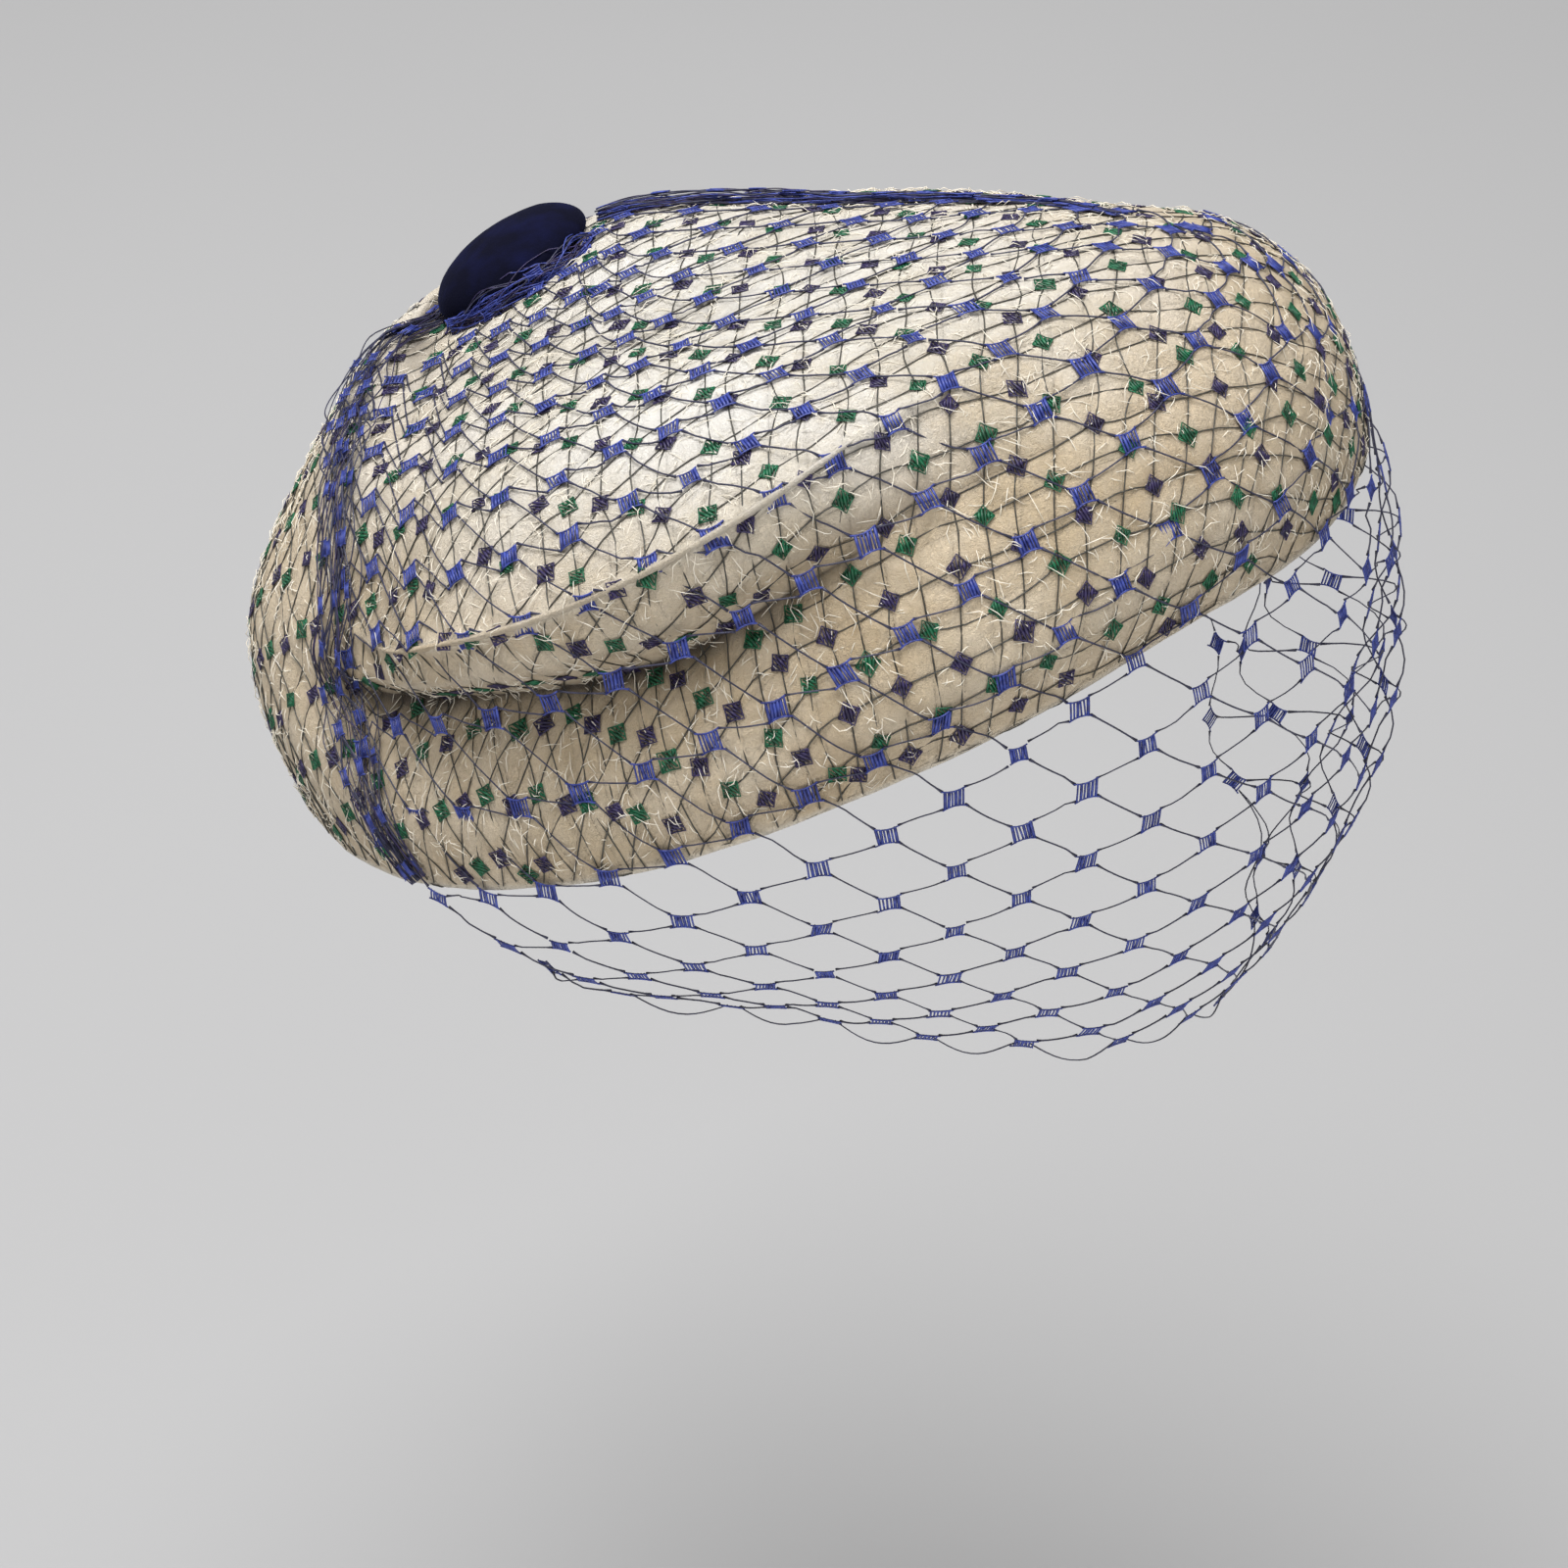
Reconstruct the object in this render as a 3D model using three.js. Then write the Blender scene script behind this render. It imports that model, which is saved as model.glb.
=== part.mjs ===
// A veiled felt hat, held the way a head holds it. Millimetres, +Z up, front of the hat towards -Y,
// the wearer's left towards +X. The origin is the centre of the head opening.
import * as THREE from 'three';

// Driving sizes of the felt hood
const RIM_RADIUS = 139;
const CROWN_HEIGHT = 92;
const FELT_WALL = 2.6;
const CROWN_SWELL = 2;
const TUCK_RISE = 2.2;
const TILT_BACK = 20.5;
const TILT_RIGHT = 4.3;

// Driving sizes of the velvet button
const BUTTON_WIDTH = 45;
const BUTTON_LENGTH = 41;
const BUTTON_HEIGHT = 13;
const BUTTON_BACK_SHARE = 0.46;
const BUTTON_RIGHT_SHARE = 0.108;
const BUTTON_UP_SHARE = 0.864;
const BUTTON_TILT_BACK = 14;
const BUTTON_TILT_RIGHT = 8;
const BUTTON_SEAT_MARGIN = 2;

// Driving sizes of the veil
const VEIL_WALL = 1.2;
const VEIL_STRAND = 2.2;
const VEIL_CELLS_AROUND = 26;
const VEIL_CELL_HEIGHT = 23;
const VEIL_FOOT_HEIGHT = 1;
const VEIL_SEAT_HEIGHT = 9;
const VEIL_DROP = 120;

// Driving sizes of the gathers
const CROWN_GATHER_WIDTH = 15;
const CROWN_GATHER_HEIGHT = 4.5;
const BACK_GATHER_WIDTH = 18;
const BACK_GATHER_HEIGHT = 4.5;

// Clearance that touching pieces keep
const SEAT_GAP = 0.35;
const GATHER_LIFT = 0.6;
const BUTTON_CLEARANCE = 0.7;
const VEIL_LIFT = 0.8;

// How finely the surfaces are stepped
const HOOD_COLUMNS = 60;
const BUTTON_SIDES = 28;
const GATHER_SIDES = 10;
const GATHER_STEPS = 30;

// A corner of the veil's net this share of a row below its foot lies on the cuff
const SEATED_SHARE = 0.4;

// Sharper corners of the net's gaps are blunted, and levels are found by this many halvings
const SHARPEST_SINE = 0.25;
const LEVEL_HALVINGS = 24;

// The middle of the button's seat, in the hood's own frame
const buttonSeatMiddle = new THREE.Vector3(
  -BUTTON_RIGHT_SHARE * RIM_RADIUS,
  BUTTON_BACK_SHARE * RIM_RADIUS,
  BUTTON_UP_SHARE * CROWN_HEIGHT,
);

// Half a cell of the veil, across and up
const VEIL_COLUMN_TURN = 180 / VEIL_CELLS_AROUND;
const VEIL_ROW_RISE = VEIL_CELL_HEIGHT / 2;

const COLOUR_FELT = 0xe6dfcf;
const COLOUR_BUTTON = 0x10143a;
const COLOUR_NET = 0x2b3a8f;

// Sections of the hood, one row for each direction. "at" is the angle from the front towards the
// wearer's right. "Out" columns are shares of RIM_RADIUS, "Up" columns are shares of CROWN_HEIGHT.
// From the rim upwards: cuff, crease under the roll, roll, stitched tuck, side of the crown.
const SECTION_COLUMNS = [
  'at', 'rimOut', 'rimUp', 'cuffOut', 'cuffUp', 'creaseOut', 'creaseUp', 'rollOut', 'tuckOut', 'tuckUp',
  'pinch', 'sideOut', 'sideUp',
];
const HOOD_SECTIONS = [
  [0, 0.95, 0.13, 0.986, 0.326, 0.906, 0.63, 0.842, 0.748, 0.837, 0, 0.604, 0.913],
  [11, 0.942, 0.13, 0.978, 0.326, 0.835, 0.685, 0.799, 0.741, 0.87, 0.5, 0.604, 0.935],
  [24, 0.942, 0.12, 0.971, 0.326, 0.827, 0.647, 0.827, 0.784, 0.87, 0.9, 0.604, 0.946],
  [38, 0.957, 0.103, 0.971, 0.304, 0.82, 0.576, 0.878, 0.863, 0.837, 1, 0.633, 0.957],
  [50, 0.978, 0.076, 0.978, 0.272, 0.827, 0.5, 0.906, 0.892, 0.772, 1, 0.683, 0.935],
  [62, 0.993, 0.038, 0.986, 0.239, 0.831, 0.457, 0.921, 0.914, 0.712, 1, 0.727, 0.902],
  [75, 1.004, 0.005, 0.993, 0.207, 0.842, 0.429, 0.921, 0.914, 0.641, 1, 0.734, 0.859],
  [88, 1.004, -0.033, 1, 0.174, 0.842, 0.38, 0.892, 0.871, 0.543, 0.8, 0.719, 0.804],
  [102, 1, -0.065, 1.004, 0.185, 0.921, 0.391, 0.899, 0.849, 0.565, 0.3, 0.712, 0.793],
  [120, 1.004, -0.076, 1.011, 0.217, 0.971, 0.413, 0.914, 0.842, 0.62, 0, 0.705, 0.815],
  [140, 1.004, -0.087, 1.007, 0.217, 0.957, 0.402, 0.885, 0.799, 0.674, 0, 0.691, 0.815],
  [162, 1.004, -0.087, 1.004, 0.217, 0.96, 0.413, 0.896, 0.813, 0.674, 0, 0.698, 0.81],
  [190, 1, -0.076, 1, 0.217, 0.964, 0.402, 0.899, 0.806, 0.652, 0, 0.691, 0.761],
  [240, 1, -0.033, 1, 0.185, 0.957, 0.337, 0.871, 0.755, 0.533, 0, 0.59, 0.636],
  [275, 1, 0, 0.996, 0.163, 0.957, 0.304, 0.871, 0.748, 0.489, 0, 0.59, 0.598],
  [312, 1.007, 0.011, 1.007, 0.196, 0.978, 0.38, 0.935, 0.856, 0.641, 0, 0.698, 0.761],
  [338, 0.986, 0.054, 1.007, 0.261, 0.964, 0.511, 0.906, 0.813, 0.761, 0, 0.662, 0.859],
].map((row) => Object.fromEntries(SECTION_COLUMNS.map((name, k) => [name, row[k]])));

// Lower edge of the veil, one row for each direction, in the level frame. "out" is a share of
// RIM_RADIUS, "down" a share of VEIL_DROP, and "belly" is how far the net bows outwards half way.
const VEIL_EDGE = [
  { at: -112, out: 1, down: 0.042, belly: 0 },
  { at: -104, out: 0.942, down: 0.208, belly: 0.02 },
  { at: -95, out: 0.885, down: 0.417, belly: 0.04 },
  { at: -80, out: 0.856, down: 0.708, belly: 0.08 },
  { at: -62, out: 0.856, down: 0.917, belly: 0.12 },
  { at: -45, out: 0.856, down: 0.958, belly: 0.133 },
  { at: -29, out: 0.813, down: 0.983, belly: 0.14 },
  { at: -20, out: 0.82, down: 0.867, belly: 0.13 },
  { at: -8, out: 0.806, down: 0.767, belly: 0.12 },
  { at: 4, out: 0.784, down: 0.7, belly: 0.11 },
  { at: 15, out: 0.734, down: 0.633, belly: 0.1 },
  { at: 31, out: 0.705, down: 0.558, belly: 0.09 },
  { at: 45, out: 0.691, down: 0.5, belly: 0.08 },
  { at: 58, out: 0.705, down: 0.487, belly: 0.07 },
  { at: 72, out: 0.791, down: 0.433, belly: 0.05 },
  { at: 80, out: 0.9, down: 0.24, belly: 0.03 },
  { at: 87, out: 0.99, down: 0.04, belly: 0 },
];

// Places that the gathers run through: the angle from the front, the station up the hood's curve
// and the share of the gather's full width
const CROWN_GATHER_ROUTE = [
  { at: 281, station: 7.95, size: 0.85 },
  { at: 283, station: 7.45, size: 1.0 },
  { at: 282, station: 7.0, size: 1.0 },
  { at: 285, station: 6.65, size: 0.95 },
  { at: 292, station: 6.38, size: 0.85 },
  { at: 306, station: 6.12, size: 0.65 },
  { at: 317, station: 5.7, size: 0.45 },
];
const BACK_GATHER_ROUTE = [
  { at: 147, station: 7.3, size: 0.7 },
  { at: 133, station: 6.7, size: 0.9 },
  { at: 119, station: 6.1, size: 1.0 },
  { at: 107, station: 5.5, size: 1.0 },
  { at: 99, station: 4.8, size: 0.95 },
  { at: 95, station: 2.7, size: 0.8 },
  { at: 92, station: 1.1, size: 0.65 },
  { at: 91, station: 0.3, size: 0.5 },
];

// The named stations of the hood's curve, from the rim up to the middle of the button seat
const STATIONS = ['rim', 'cuff', 'lip', 'crease', 'roll', 'tuck', 'side', 'top', 'seatEdge', 'seatMiddle'];
const TUCK = STATIONS.indexOf('tuck');
const SEAT_MIDDLE = STATIONS.indexOf('seatMiddle');

// The lip lies between the cuff and the crease: the cuff's share of its place
const LIP_OUT_SHARE = 0.45;
const LIP_UP_SHARE = 0.3;

// How far the tuck's pinched ridge reaches to either side, as a share of the way to the next station
const PINCH_STATION_SHARE = 0.25;

// Small steps for measuring directions on the hood, in degrees and in stations
const SMALL_STEP = { turn: 2, station: 0.15, share: 0.01 };

// Half the width of the button's dome for each share of its height
const BUTTON_PROFILE = [
  [0, 0], [0.43, 0], [0.49, 0.12], [0.5, 0.28], [0.47, 0.5], [0.4, 0.72], [0.28, 0.89], [0.14, 0.98], [0, 1],
];

// Places stepped over between the named stations of the hood's curve, from the rim to the button seat
const HOOD_STATIONS = [
  0, 0.35, 0.7, 1, 1.4, 1.75, 2, 2.35, 2.7, 3, 3.4, 3.7, 4, 4.45, 4.8, 5, 5.2, 5.5, 5.8,
  6, 6.3, 6.65, 7, 7.35, 7.7, 8,
];

function radians(degrees) {
  return degrees * Math.PI / 180;
}

// Smooth value between the rows of a table, going once round for a closed one
function readTable(rows, column, angle, closed) {
  const count = rows.length;
  const start = rows[0].at;
  const x = closed ? start + ((angle - start) % 360 + 360) % 360 : angle;
  const point = (k) => {
    if (!closed) return rows[Math.min(Math.max(k, 0), count - 1)];
    const row = rows[(k % count + count) % count];
    return { at: row.at + 360 * Math.floor(k / count), [column]: row[column] };
  };
  const lastSpan = closed ? count - 1 : count - 2;
  let k = 0;
  while (k < lastSpan && point(k + 1).at <= x) k += 1;
  const a = point(k - 1);
  const b = point(k);
  const c = point(k + 1);
  const d = point(k + 2);
  const span = c.at - b.at;
  const share = (x - b.at) / span;
  const slope = (p, q) => (q.at === p.at ? 0 : (q[column] - p[column]) / (q.at - p.at) * span);
  const m0 = slope(a, c);
  const m1 = slope(b, d);
  const s2 = share * share;
  const s3 = s2 * share;
  return (2 * s3 - 3 * s2 + 1) * b[column] + (s3 - 2 * s2 + share) * m0
    + (3 * s2 - 2 * s3) * c[column] + (s3 - s2) * m1;
}

// A point at a distance out from the middle, in the direction of an angle from the front
function around(angle, out, up) {
  const turn = radians(angle);
  return new THREE.Vector3(-out * Math.sin(turn), -out * Math.cos(turn), up);
}

// The flat place on the crown where the button sits, in the hood's own frame
const buttonTurn = new THREE.Euler(radians(-BUTTON_TILT_BACK), radians(-BUTTON_TILT_RIGHT), 0);
const buttonSeat = new THREE.Matrix4().makeRotationFromEuler(buttonTurn).setPosition(buttonSeatMiddle);

// The curve from the rim over the crown to the middle of the button pad, in the hood's own frame
function hoodCurve(angle) {
  const read = (column) => readTable(HOOD_SECTIONS, column, angle, true);
  const ring = (out, up) => around(angle, out * RIM_RADIUS, up * CROWN_HEIGHT);
  const crease = [read('creaseOut'), read('creaseUp')];
  const tuck = [read('tuckOut'), read('tuckUp')];
  const cuff = [read('cuffOut'), read('cuffUp')];
  const side = [read('sideOut'), read('sideUp')];
  const pad = around(angle, BUTTON_WIDTH / 2 + BUTTON_SEAT_MARGIN, 0).applyMatrix4(buttonSeat);
  const sidePoint = ring(side[0], side[1]);
  const top = sidePoint.clone().lerp(pad, 0.5);
  top.z += CROWN_SWELL;
  const lipOut = cuff[0] * LIP_OUT_SHARE + crease[0] * (1 - LIP_OUT_SHARE);
  const lipUp = cuff[1] * LIP_UP_SHARE + crease[1] * (1 - LIP_UP_SHARE);
  return new THREE.CatmullRomCurve3([
    ring(read('rimOut'), read('rimUp')),
    ring(cuff[0], cuff[1]),
    ring(lipOut, lipUp),
    ring(crease[0], crease[1]),
    ring(read('rollOut'), (crease[1] + tuck[1]) / 2),
    ring(tuck[0], tuck[1]),
    sidePoint,
    top,
    pad,
    new THREE.Vector3().applyMatrix4(buttonSeat),
  ], false, 'centripetal');
}

// A point of the hood's outer face: "station" counts the named places up from the rim
function hoodPoint(angle, station) {
  const curve = hoodCurve(angle);
  const share = Math.min(Math.max(station / SEAT_MIDDLE, 0), 1);
  const point = curve.getPoint(share);
  const nearness = 1 - Math.abs(station - TUCK) / PINCH_STATION_SHARE;
  if (nearness <= 0) return point;
  const rise = TUCK_RISE * nearness * readTable(HOOD_SECTIONS, 'pinch', angle, true);
  const along = curve.getTangent(share);
  const outwards = around(angle, 1, 0);
  outwards.addScaledVector(along, -outwards.dot(along)).normalize();
  return point.addScaledVector(outwards, rise);
}

// Outward direction of the hood's outer face
function hoodNormal(angle, station) {
  const belowSeat = STATIONS.indexOf('seatEdge') - SMALL_STEP.station;
  const low = Math.max(station - SMALL_STEP.station, 0);
  const high = Math.min(station + SMALL_STEP.station, belowSeat);
  const along = hoodPoint(angle, high).sub(hoodPoint(angle, low));
  const across = hoodPoint(angle + SMALL_STEP.turn, station).sub(hoodPoint(angle - SMALL_STEP.turn, station));
  return across.cross(along).normalize().negate();
}

// Mesh from points and quads or triangles of point numbers
function meshFrom(points, faces) {
  const index = [];
  for (const face of faces) {
    index.push(face[0], face[1], face[2]);
    if (face.length === 4) index.push(face[0], face[2], face[3]);
  }
  const geometry = new THREE.BufferGeometry();
  const places = points.flatMap((p) => [p.x, p.y, p.z]);
  geometry.setAttribute('position', new THREE.Float32BufferAttribute(places, 3));
  geometry.setIndex(index);
  return geometry;
}

// The hood is one felt wall: the outer face, the same face set in by the wall, and the rim between
function hoodGeometry() {
  const stations = HOOD_STATIONS;
  const outer = [];
  for (const station of stations) {
    for (let column = 0; column < HOOD_COLUMNS; column += 1) {
      outer.push(hoodPoint(360 * column / HOOD_COLUMNS, station));
    }
  }
  const rows = stations.length;
  const at = (row, column) => row * HOOD_COLUMNS + (column % HOOD_COLUMNS + HOOD_COLUMNS) % HOOD_COLUMNS;
  const inner = outer.map((point, k) => {
    const row = Math.floor(k / HOOD_COLUMNS);
    const column = k % HOOD_COLUMNS;
    const above = outer[at(Math.min(row + 1, rows - 1), column)];
    const below = outer[at(Math.max(row - 1, 0), column)];
    const along = above.clone().sub(below);
    const across = outer[at(row, column + 1)].clone().sub(outer[at(row, column - 1)]);
    const inward = across.cross(along).normalize();
    if (row === 0) inward.setZ(0).normalize();
    return point.clone().addScaledVector(inward, FELT_WALL);
  });
  const centre = hoodPoint(0, SEAT_MIDDLE);
  const seatNormal = new THREE.Vector3(0, 0, 1).transformDirection(buttonSeat);
  const points = [...outer, ...inner, centre, centre.clone().addScaledVector(seatNormal, -FELT_WALL)];
  const faces = [];
  const shift = outer.length;
  for (let column = 0; column < HOOD_COLUMNS; column += 1) {
    for (let row = 0; row < rows - 1; row += 1) {
      const a = at(row, column);
      const b = at(row, column + 1);
      const c = at(row + 1, column + 1);
      const d = at(row + 1, column);
      faces.push([b, a, d, c]);
      faces.push([a + shift, b + shift, c + shift, d + shift]);
    }
    faces.push([at(0, column), at(0, column + 1), at(0, column + 1) + shift, at(0, column) + shift]);
    faces.push([at(rows - 1, column + 1), at(rows - 1, column), 2 * shift]);
    faces.push([at(rows - 1, column) + shift, at(rows - 1, column + 1) + shift, 2 * shift + 1]);
  }
  return meshFrom(points, faces);
}

const hoodToSeat = buttonSeat.clone().invert();

// Moves a point of a gather out to the button's oval edge, so that the gather butts against it
function besideButton(point) {
  const flat = point.clone().applyMatrix4(hoodToSeat);
  const reach = Math.hypot(
    flat.x / (BUTTON_WIDTH / 2 + BUTTON_CLEARANCE),
    flat.y / (BUTTON_LENGTH / 2 + BUTTON_CLEARANCE),
  );
  if (reach >= 1) return point;
  flat.x /= reach;
  flat.y /= reach;
  return flat.applyMatrix4(buttonSeat);
}

// A flattened bundle that lies on the hood along a route of places on its outer face. Each of its
// sections bends with the felt beneath it.
function bundleGeometry(route, width, height) {
  const line = new THREE.CatmullRomCurve3(route.map((r) => new THREE.Vector3(r.at, r.station, r.size)));
  const points = [];
  const faces = [];
  for (let step = 0; step <= GATHER_STEPS; step += 1) {
    const share = step / GATHER_STEPS;
    const place = line.getPoint(share);
    const before = line.getPoint(Math.max(share - SMALL_STEP.share, 0));
    const after = line.getPoint(Math.min(share + SMALL_STEP.share, 1));
    const normal = hoodNormal(place.x, place.y);
    const along = hoodPoint(after.x, after.y).sub(hoodPoint(before.x, before.y)).normalize();
    const across = normal.clone().cross(along).normalize();
    const base = hoodPoint(place.x, place.y);
    const perAngle = hoodPoint(place.x + SMALL_STEP.turn, place.y).sub(base).divideScalar(SMALL_STEP.turn);
    const perStation = hoodPoint(place.x, place.y + SMALL_STEP.station).sub(base);
    perStation.divideScalar(SMALL_STEP.station);
    const a = perAngle.dot(perAngle);
    const b = perAngle.dot(perStation);
    const c = perStation.dot(perStation);
    const u = perAngle.dot(across);
    const v = perStation.dot(across);
    const angleShare = (c * u - b * v) / (a * c - b * b);
    const stationShare = (a * v - b * u) / (a * c - b * b);
    const halfWidth = width / 2 * place.z;
    const halfHeight = height / 2 * place.z;
    for (let side = 0; side < GATHER_SIDES; side += 1) {
      const turn = 2 * Math.PI * side / GATHER_SIDES;
      const sideways = halfWidth * Math.cos(turn);
      const angle = place.x + sideways * angleShare;
      const station = Math.max(place.y + sideways * stationShare, 0);
      const lift = halfHeight * (1 + Math.sin(turn)) + GATHER_LIFT;
      points.push(besideButton(hoodPoint(angle, station).addScaledVector(normal, lift)));
    }
  }
  const at = (step, side) => step * GATHER_SIDES + side % GATHER_SIDES;
  for (let side = 0; side < GATHER_SIDES; side += 1) {
    for (let step = 0; step < GATHER_STEPS; step += 1) {
      faces.push([at(step, side), at(step, side + 1), at(step + 1, side + 1), at(step + 1, side)]);
    }
  }
  for (let side = 1; side < GATHER_SIDES - 1; side += 1) {
    faces.push([at(0, 0), at(0, side + 1), at(0, side)]);
    faces.push([at(GATHER_STEPS, 0), at(GATHER_STEPS, side), at(GATHER_STEPS, side + 1)]);
  }
  return meshFrom(points, faces);
}

// A padded dome with an oval outline and a flat back
function buttonGeometry() {
  const outline = BUTTON_PROFILE.map(([out, up]) => new THREE.Vector2(out, up));
  const geometry = new THREE.LatheGeometry(outline, BUTTON_SIDES);
  geometry.rotateX(Math.PI / 2);
  geometry.scale(BUTTON_WIDTH, BUTTON_LENGTH, BUTTON_HEIGHT);
  return geometry;
}

function material(color, roughness) {
  return new THREE.MeshStandardMaterial({ color, roughness, metalness: 0 });
}

function named(name, geometry, finish) {
  const mesh = new THREE.Mesh(geometry, finish);
  mesh.name = name;
  return mesh;
}

// Everything that tilts with the hat on the head
const tilted = new THREE.Group();
tilted.rotation.set(radians(-TILT_BACK), radians(-TILT_RIGHT), 0);
tilted.updateMatrixWorld(true);

// A place on the cuff's face that lies a height above the rim, lifted clear of the felt, in the level frame
function cuffPoint(angle, up) {
  const rise = hoodPoint(angle, 1).z - hoodPoint(angle, 0).z;
  const station = up / rise;
  const point = hoodPoint(angle, station).addScaledVector(hoodNormal(angle, station), VEIL_LIFT);
  return point.applyMatrix4(tilted.matrix);
}

// One line down the veil, from its foot on the cuff to its lower edge
function veilLine(angle) {
  const foot = cuffPoint(angle, VEIL_FOOT_HEIGHT);
  const read = (column) => readTable(VEIL_EDGE, column, angle, false);
  const edge = around(angle, read('out') * RIM_RADIUS, -read('down') * VEIL_DROP);
  const middle = foot.clone().lerp(edge, 0.5);
  const pull = middle.clone();
  const outwards = new THREE.Vector3(middle.x, middle.y, 0).normalize();
  pull.addScaledVector(outwards, 2 * read('belly') * RIM_RADIUS);
  return new THREE.QuadraticBezierCurve3(foot, pull, edge);
}

// The place on a line of the veil at a level, found by halving
function placeAtLevel(line, level) {
  let low = 0;
  let high = 1;
  for (let k = 0; k < LEVEL_HALVINGS; k += 1) {
    const half = (low + high) / 2;
    if (line.getPoint(half).z > level) low = half;
    else high = half;
  }
  return line.getPoint((low + high) / 2);
}

// The corners of the veil's diamond cells. A corner near the foot of the veil lies on the cuff.
const veilCorners = new Map();
function veilCorner(column, row) {
  const key = `${column},${row}`;
  if (!veilCorners.has(key)) {
    const angle = VEIL_EDGE[0].at + column * VEIL_COLUMN_TURN;
    const line = veilLine(angle);
    const level = row * VEIL_ROW_RISE - VEIL_DROP;
    const seated = level > line.v0.z - VEIL_ROW_RISE * SEATED_SHARE;
    const point = seated ? line.v0.clone() : placeAtLevel(line, level);
    veilCorners.set(key, { key, angle, level, seated, edgeLevel: line.v2.z, point });
  }
  return veilCorners.get(key);
}

// The diamond cells that lie above the veil's lower edge, each as its low, left, high and right corner
function veilCells() {
  const columns = Math.floor((VEIL_EDGE[VEIL_EDGE.length - 1].at - VEIL_EDGE[0].at) / VEIL_COLUMN_TURN);
  const rows = Math.ceil((VEIL_DROP + CROWN_HEIGHT) / VEIL_ROW_RISE);
  const cells = [];
  for (let column = 1; column < columns; column += 1) {
    for (let row = -1; row < rows; row += 1) {
      const low = veilCorner(column, row - 1);
      const isCell = (column + row) % 2 === 0;
      const isHanging = low.level >= low.edgeLevel - VEIL_ROW_RISE / 2;
      if (isCell && isHanging && !low.seated) {
        const left = veilCorner(column - 1, row);
        const high = veilCorner(column, row + 1);
        const right = veilCorner(column + 1, row);
        cells.push([low, left, high, right]);
      }
    }
  }
  return cells;
}

// A thin upright wall with holes. Each of its places has a point on the inner face and, next in the
// list, one on the outer face. Places are given against the clock as seen from outside.
class ThinWall {
  constructor() {
    this.points = [];
    this.faces = [];
    this.numbers = new Map();
  }

  place(key, point) {
    if (!this.numbers.has(key)) {
      const outwards = new THREE.Vector3(point.x, point.y, 0).normalize();
      this.numbers.set(key, this.points.length);
      this.points.push(point.clone(), point.clone().addScaledVector(outwards, VEIL_WALL));
    }
    return this.numbers.get(key);
  }

  patch(a, b, c, d) {
    this.faces.push([a + 1, b + 1, c + 1, d + 1], [b, a, d, c]);
  }

  edge(a, b) {
    this.faces.push([a, b, b + 1, a + 1]);
  }
}

// The flat strands round the gap of one cell
function addCell(wall, cell) {
  const outer = cell.map((corner) => wall.place(corner.key, corner.point));
  const inner = cell.map((corner, k) => {
    const toPrevious = cell[(k + 3) % 4].point.clone().sub(corner.point).normalize();
    const toNext = cell[(k + 1) % 4].point.clone().sub(corner.point).normalize();
    const sine = Math.max(toPrevious.clone().cross(toNext).length(), SHARPEST_SINE);
    const inset = toPrevious.add(toNext).multiplyScalar(VEIL_STRAND / 2 / sine);
    return wall.place(`${cell[0].key} ${cell[2].key} ${k}`, corner.point.clone().add(inset));
  });
  for (let k = 0; k < 4; k += 1) {
    const next = (k + 1) % 4;
    wall.patch(outer[k], outer[next], inner[next], inner[k]);
    wall.edge(inner[next], inner[k]);
  }
}

// The veil is a net of flat strands round diamond gaps, with a plain band where it lies on the cuff
function veilGeometry() {
  const wall = new ThinWall();
  const sides = new Map();
  for (const cell of veilCells()) {
    addCell(wall, cell);
    cell.forEach((from, k) => {
      const to = cell[(k + 1) % 4];
      sides.set(`${from.key} ${to.key}`, [from, to]);
    });
  }
  const bandEnds = new Map();
  const seat = (corner) => wall.place(`seat ${corner.key}`, cuffPoint(corner.angle, VEIL_SEAT_HEIGHT));
  for (const [from, to] of sides.values()) {
    const isFree = !sides.has(`${to.key} ${from.key}`);
    const a = wall.place(from.key, from.point);
    const b = wall.place(to.key, to.point);
    if (isFree && from.seated && to.seated) {
      wall.patch(b, a, seat(from), seat(to));
      wall.edge(seat(from), seat(to));
      bandEnds.set(from, (bandEnds.get(from) || 0) + 1);
      bandEnds.set(to, (bandEnds.get(to) || 0) - 1);
    } else if (isFree) {
      wall.edge(a, b);
    }
  }
  for (const [corner, balance] of bandEnds) {
    const foot = wall.place(corner.key, corner.point);
    if (balance > 0) wall.edge(foot, seat(corner));
    if (balance < 0) wall.edge(seat(corner), foot);
  }
  return meshFrom(wall.points, wall.faces);
}

tilted.add(named('felt_hood', hoodGeometry(), material(COLOUR_FELT, 0.95)));

const button = named('velvet_button', buttonGeometry(), material(COLOUR_BUTTON, 0.8));
button.applyMatrix4(buttonSeat.clone().multiply(new THREE.Matrix4().makeTranslation(0, 0, SEAT_GAP)));
tilted.add(button);

const gathers = [
  ['crown_gather', CROWN_GATHER_ROUTE, CROWN_GATHER_WIDTH, CROWN_GATHER_HEIGHT],
  ['back_gather', BACK_GATHER_ROUTE, BACK_GATHER_WIDTH, BACK_GATHER_HEIGHT],
];
for (const [name, route, width, height] of gathers) {
  tilted.add(named(name, bundleGeometry(route, width, height), material(COLOUR_NET, 0.7)));
}

const hat = new THREE.Group();
hat.add(tilted);
hat.add(named('veil', veilGeometry(), material(COLOUR_NET, 0.7)));

export default hat;
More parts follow.
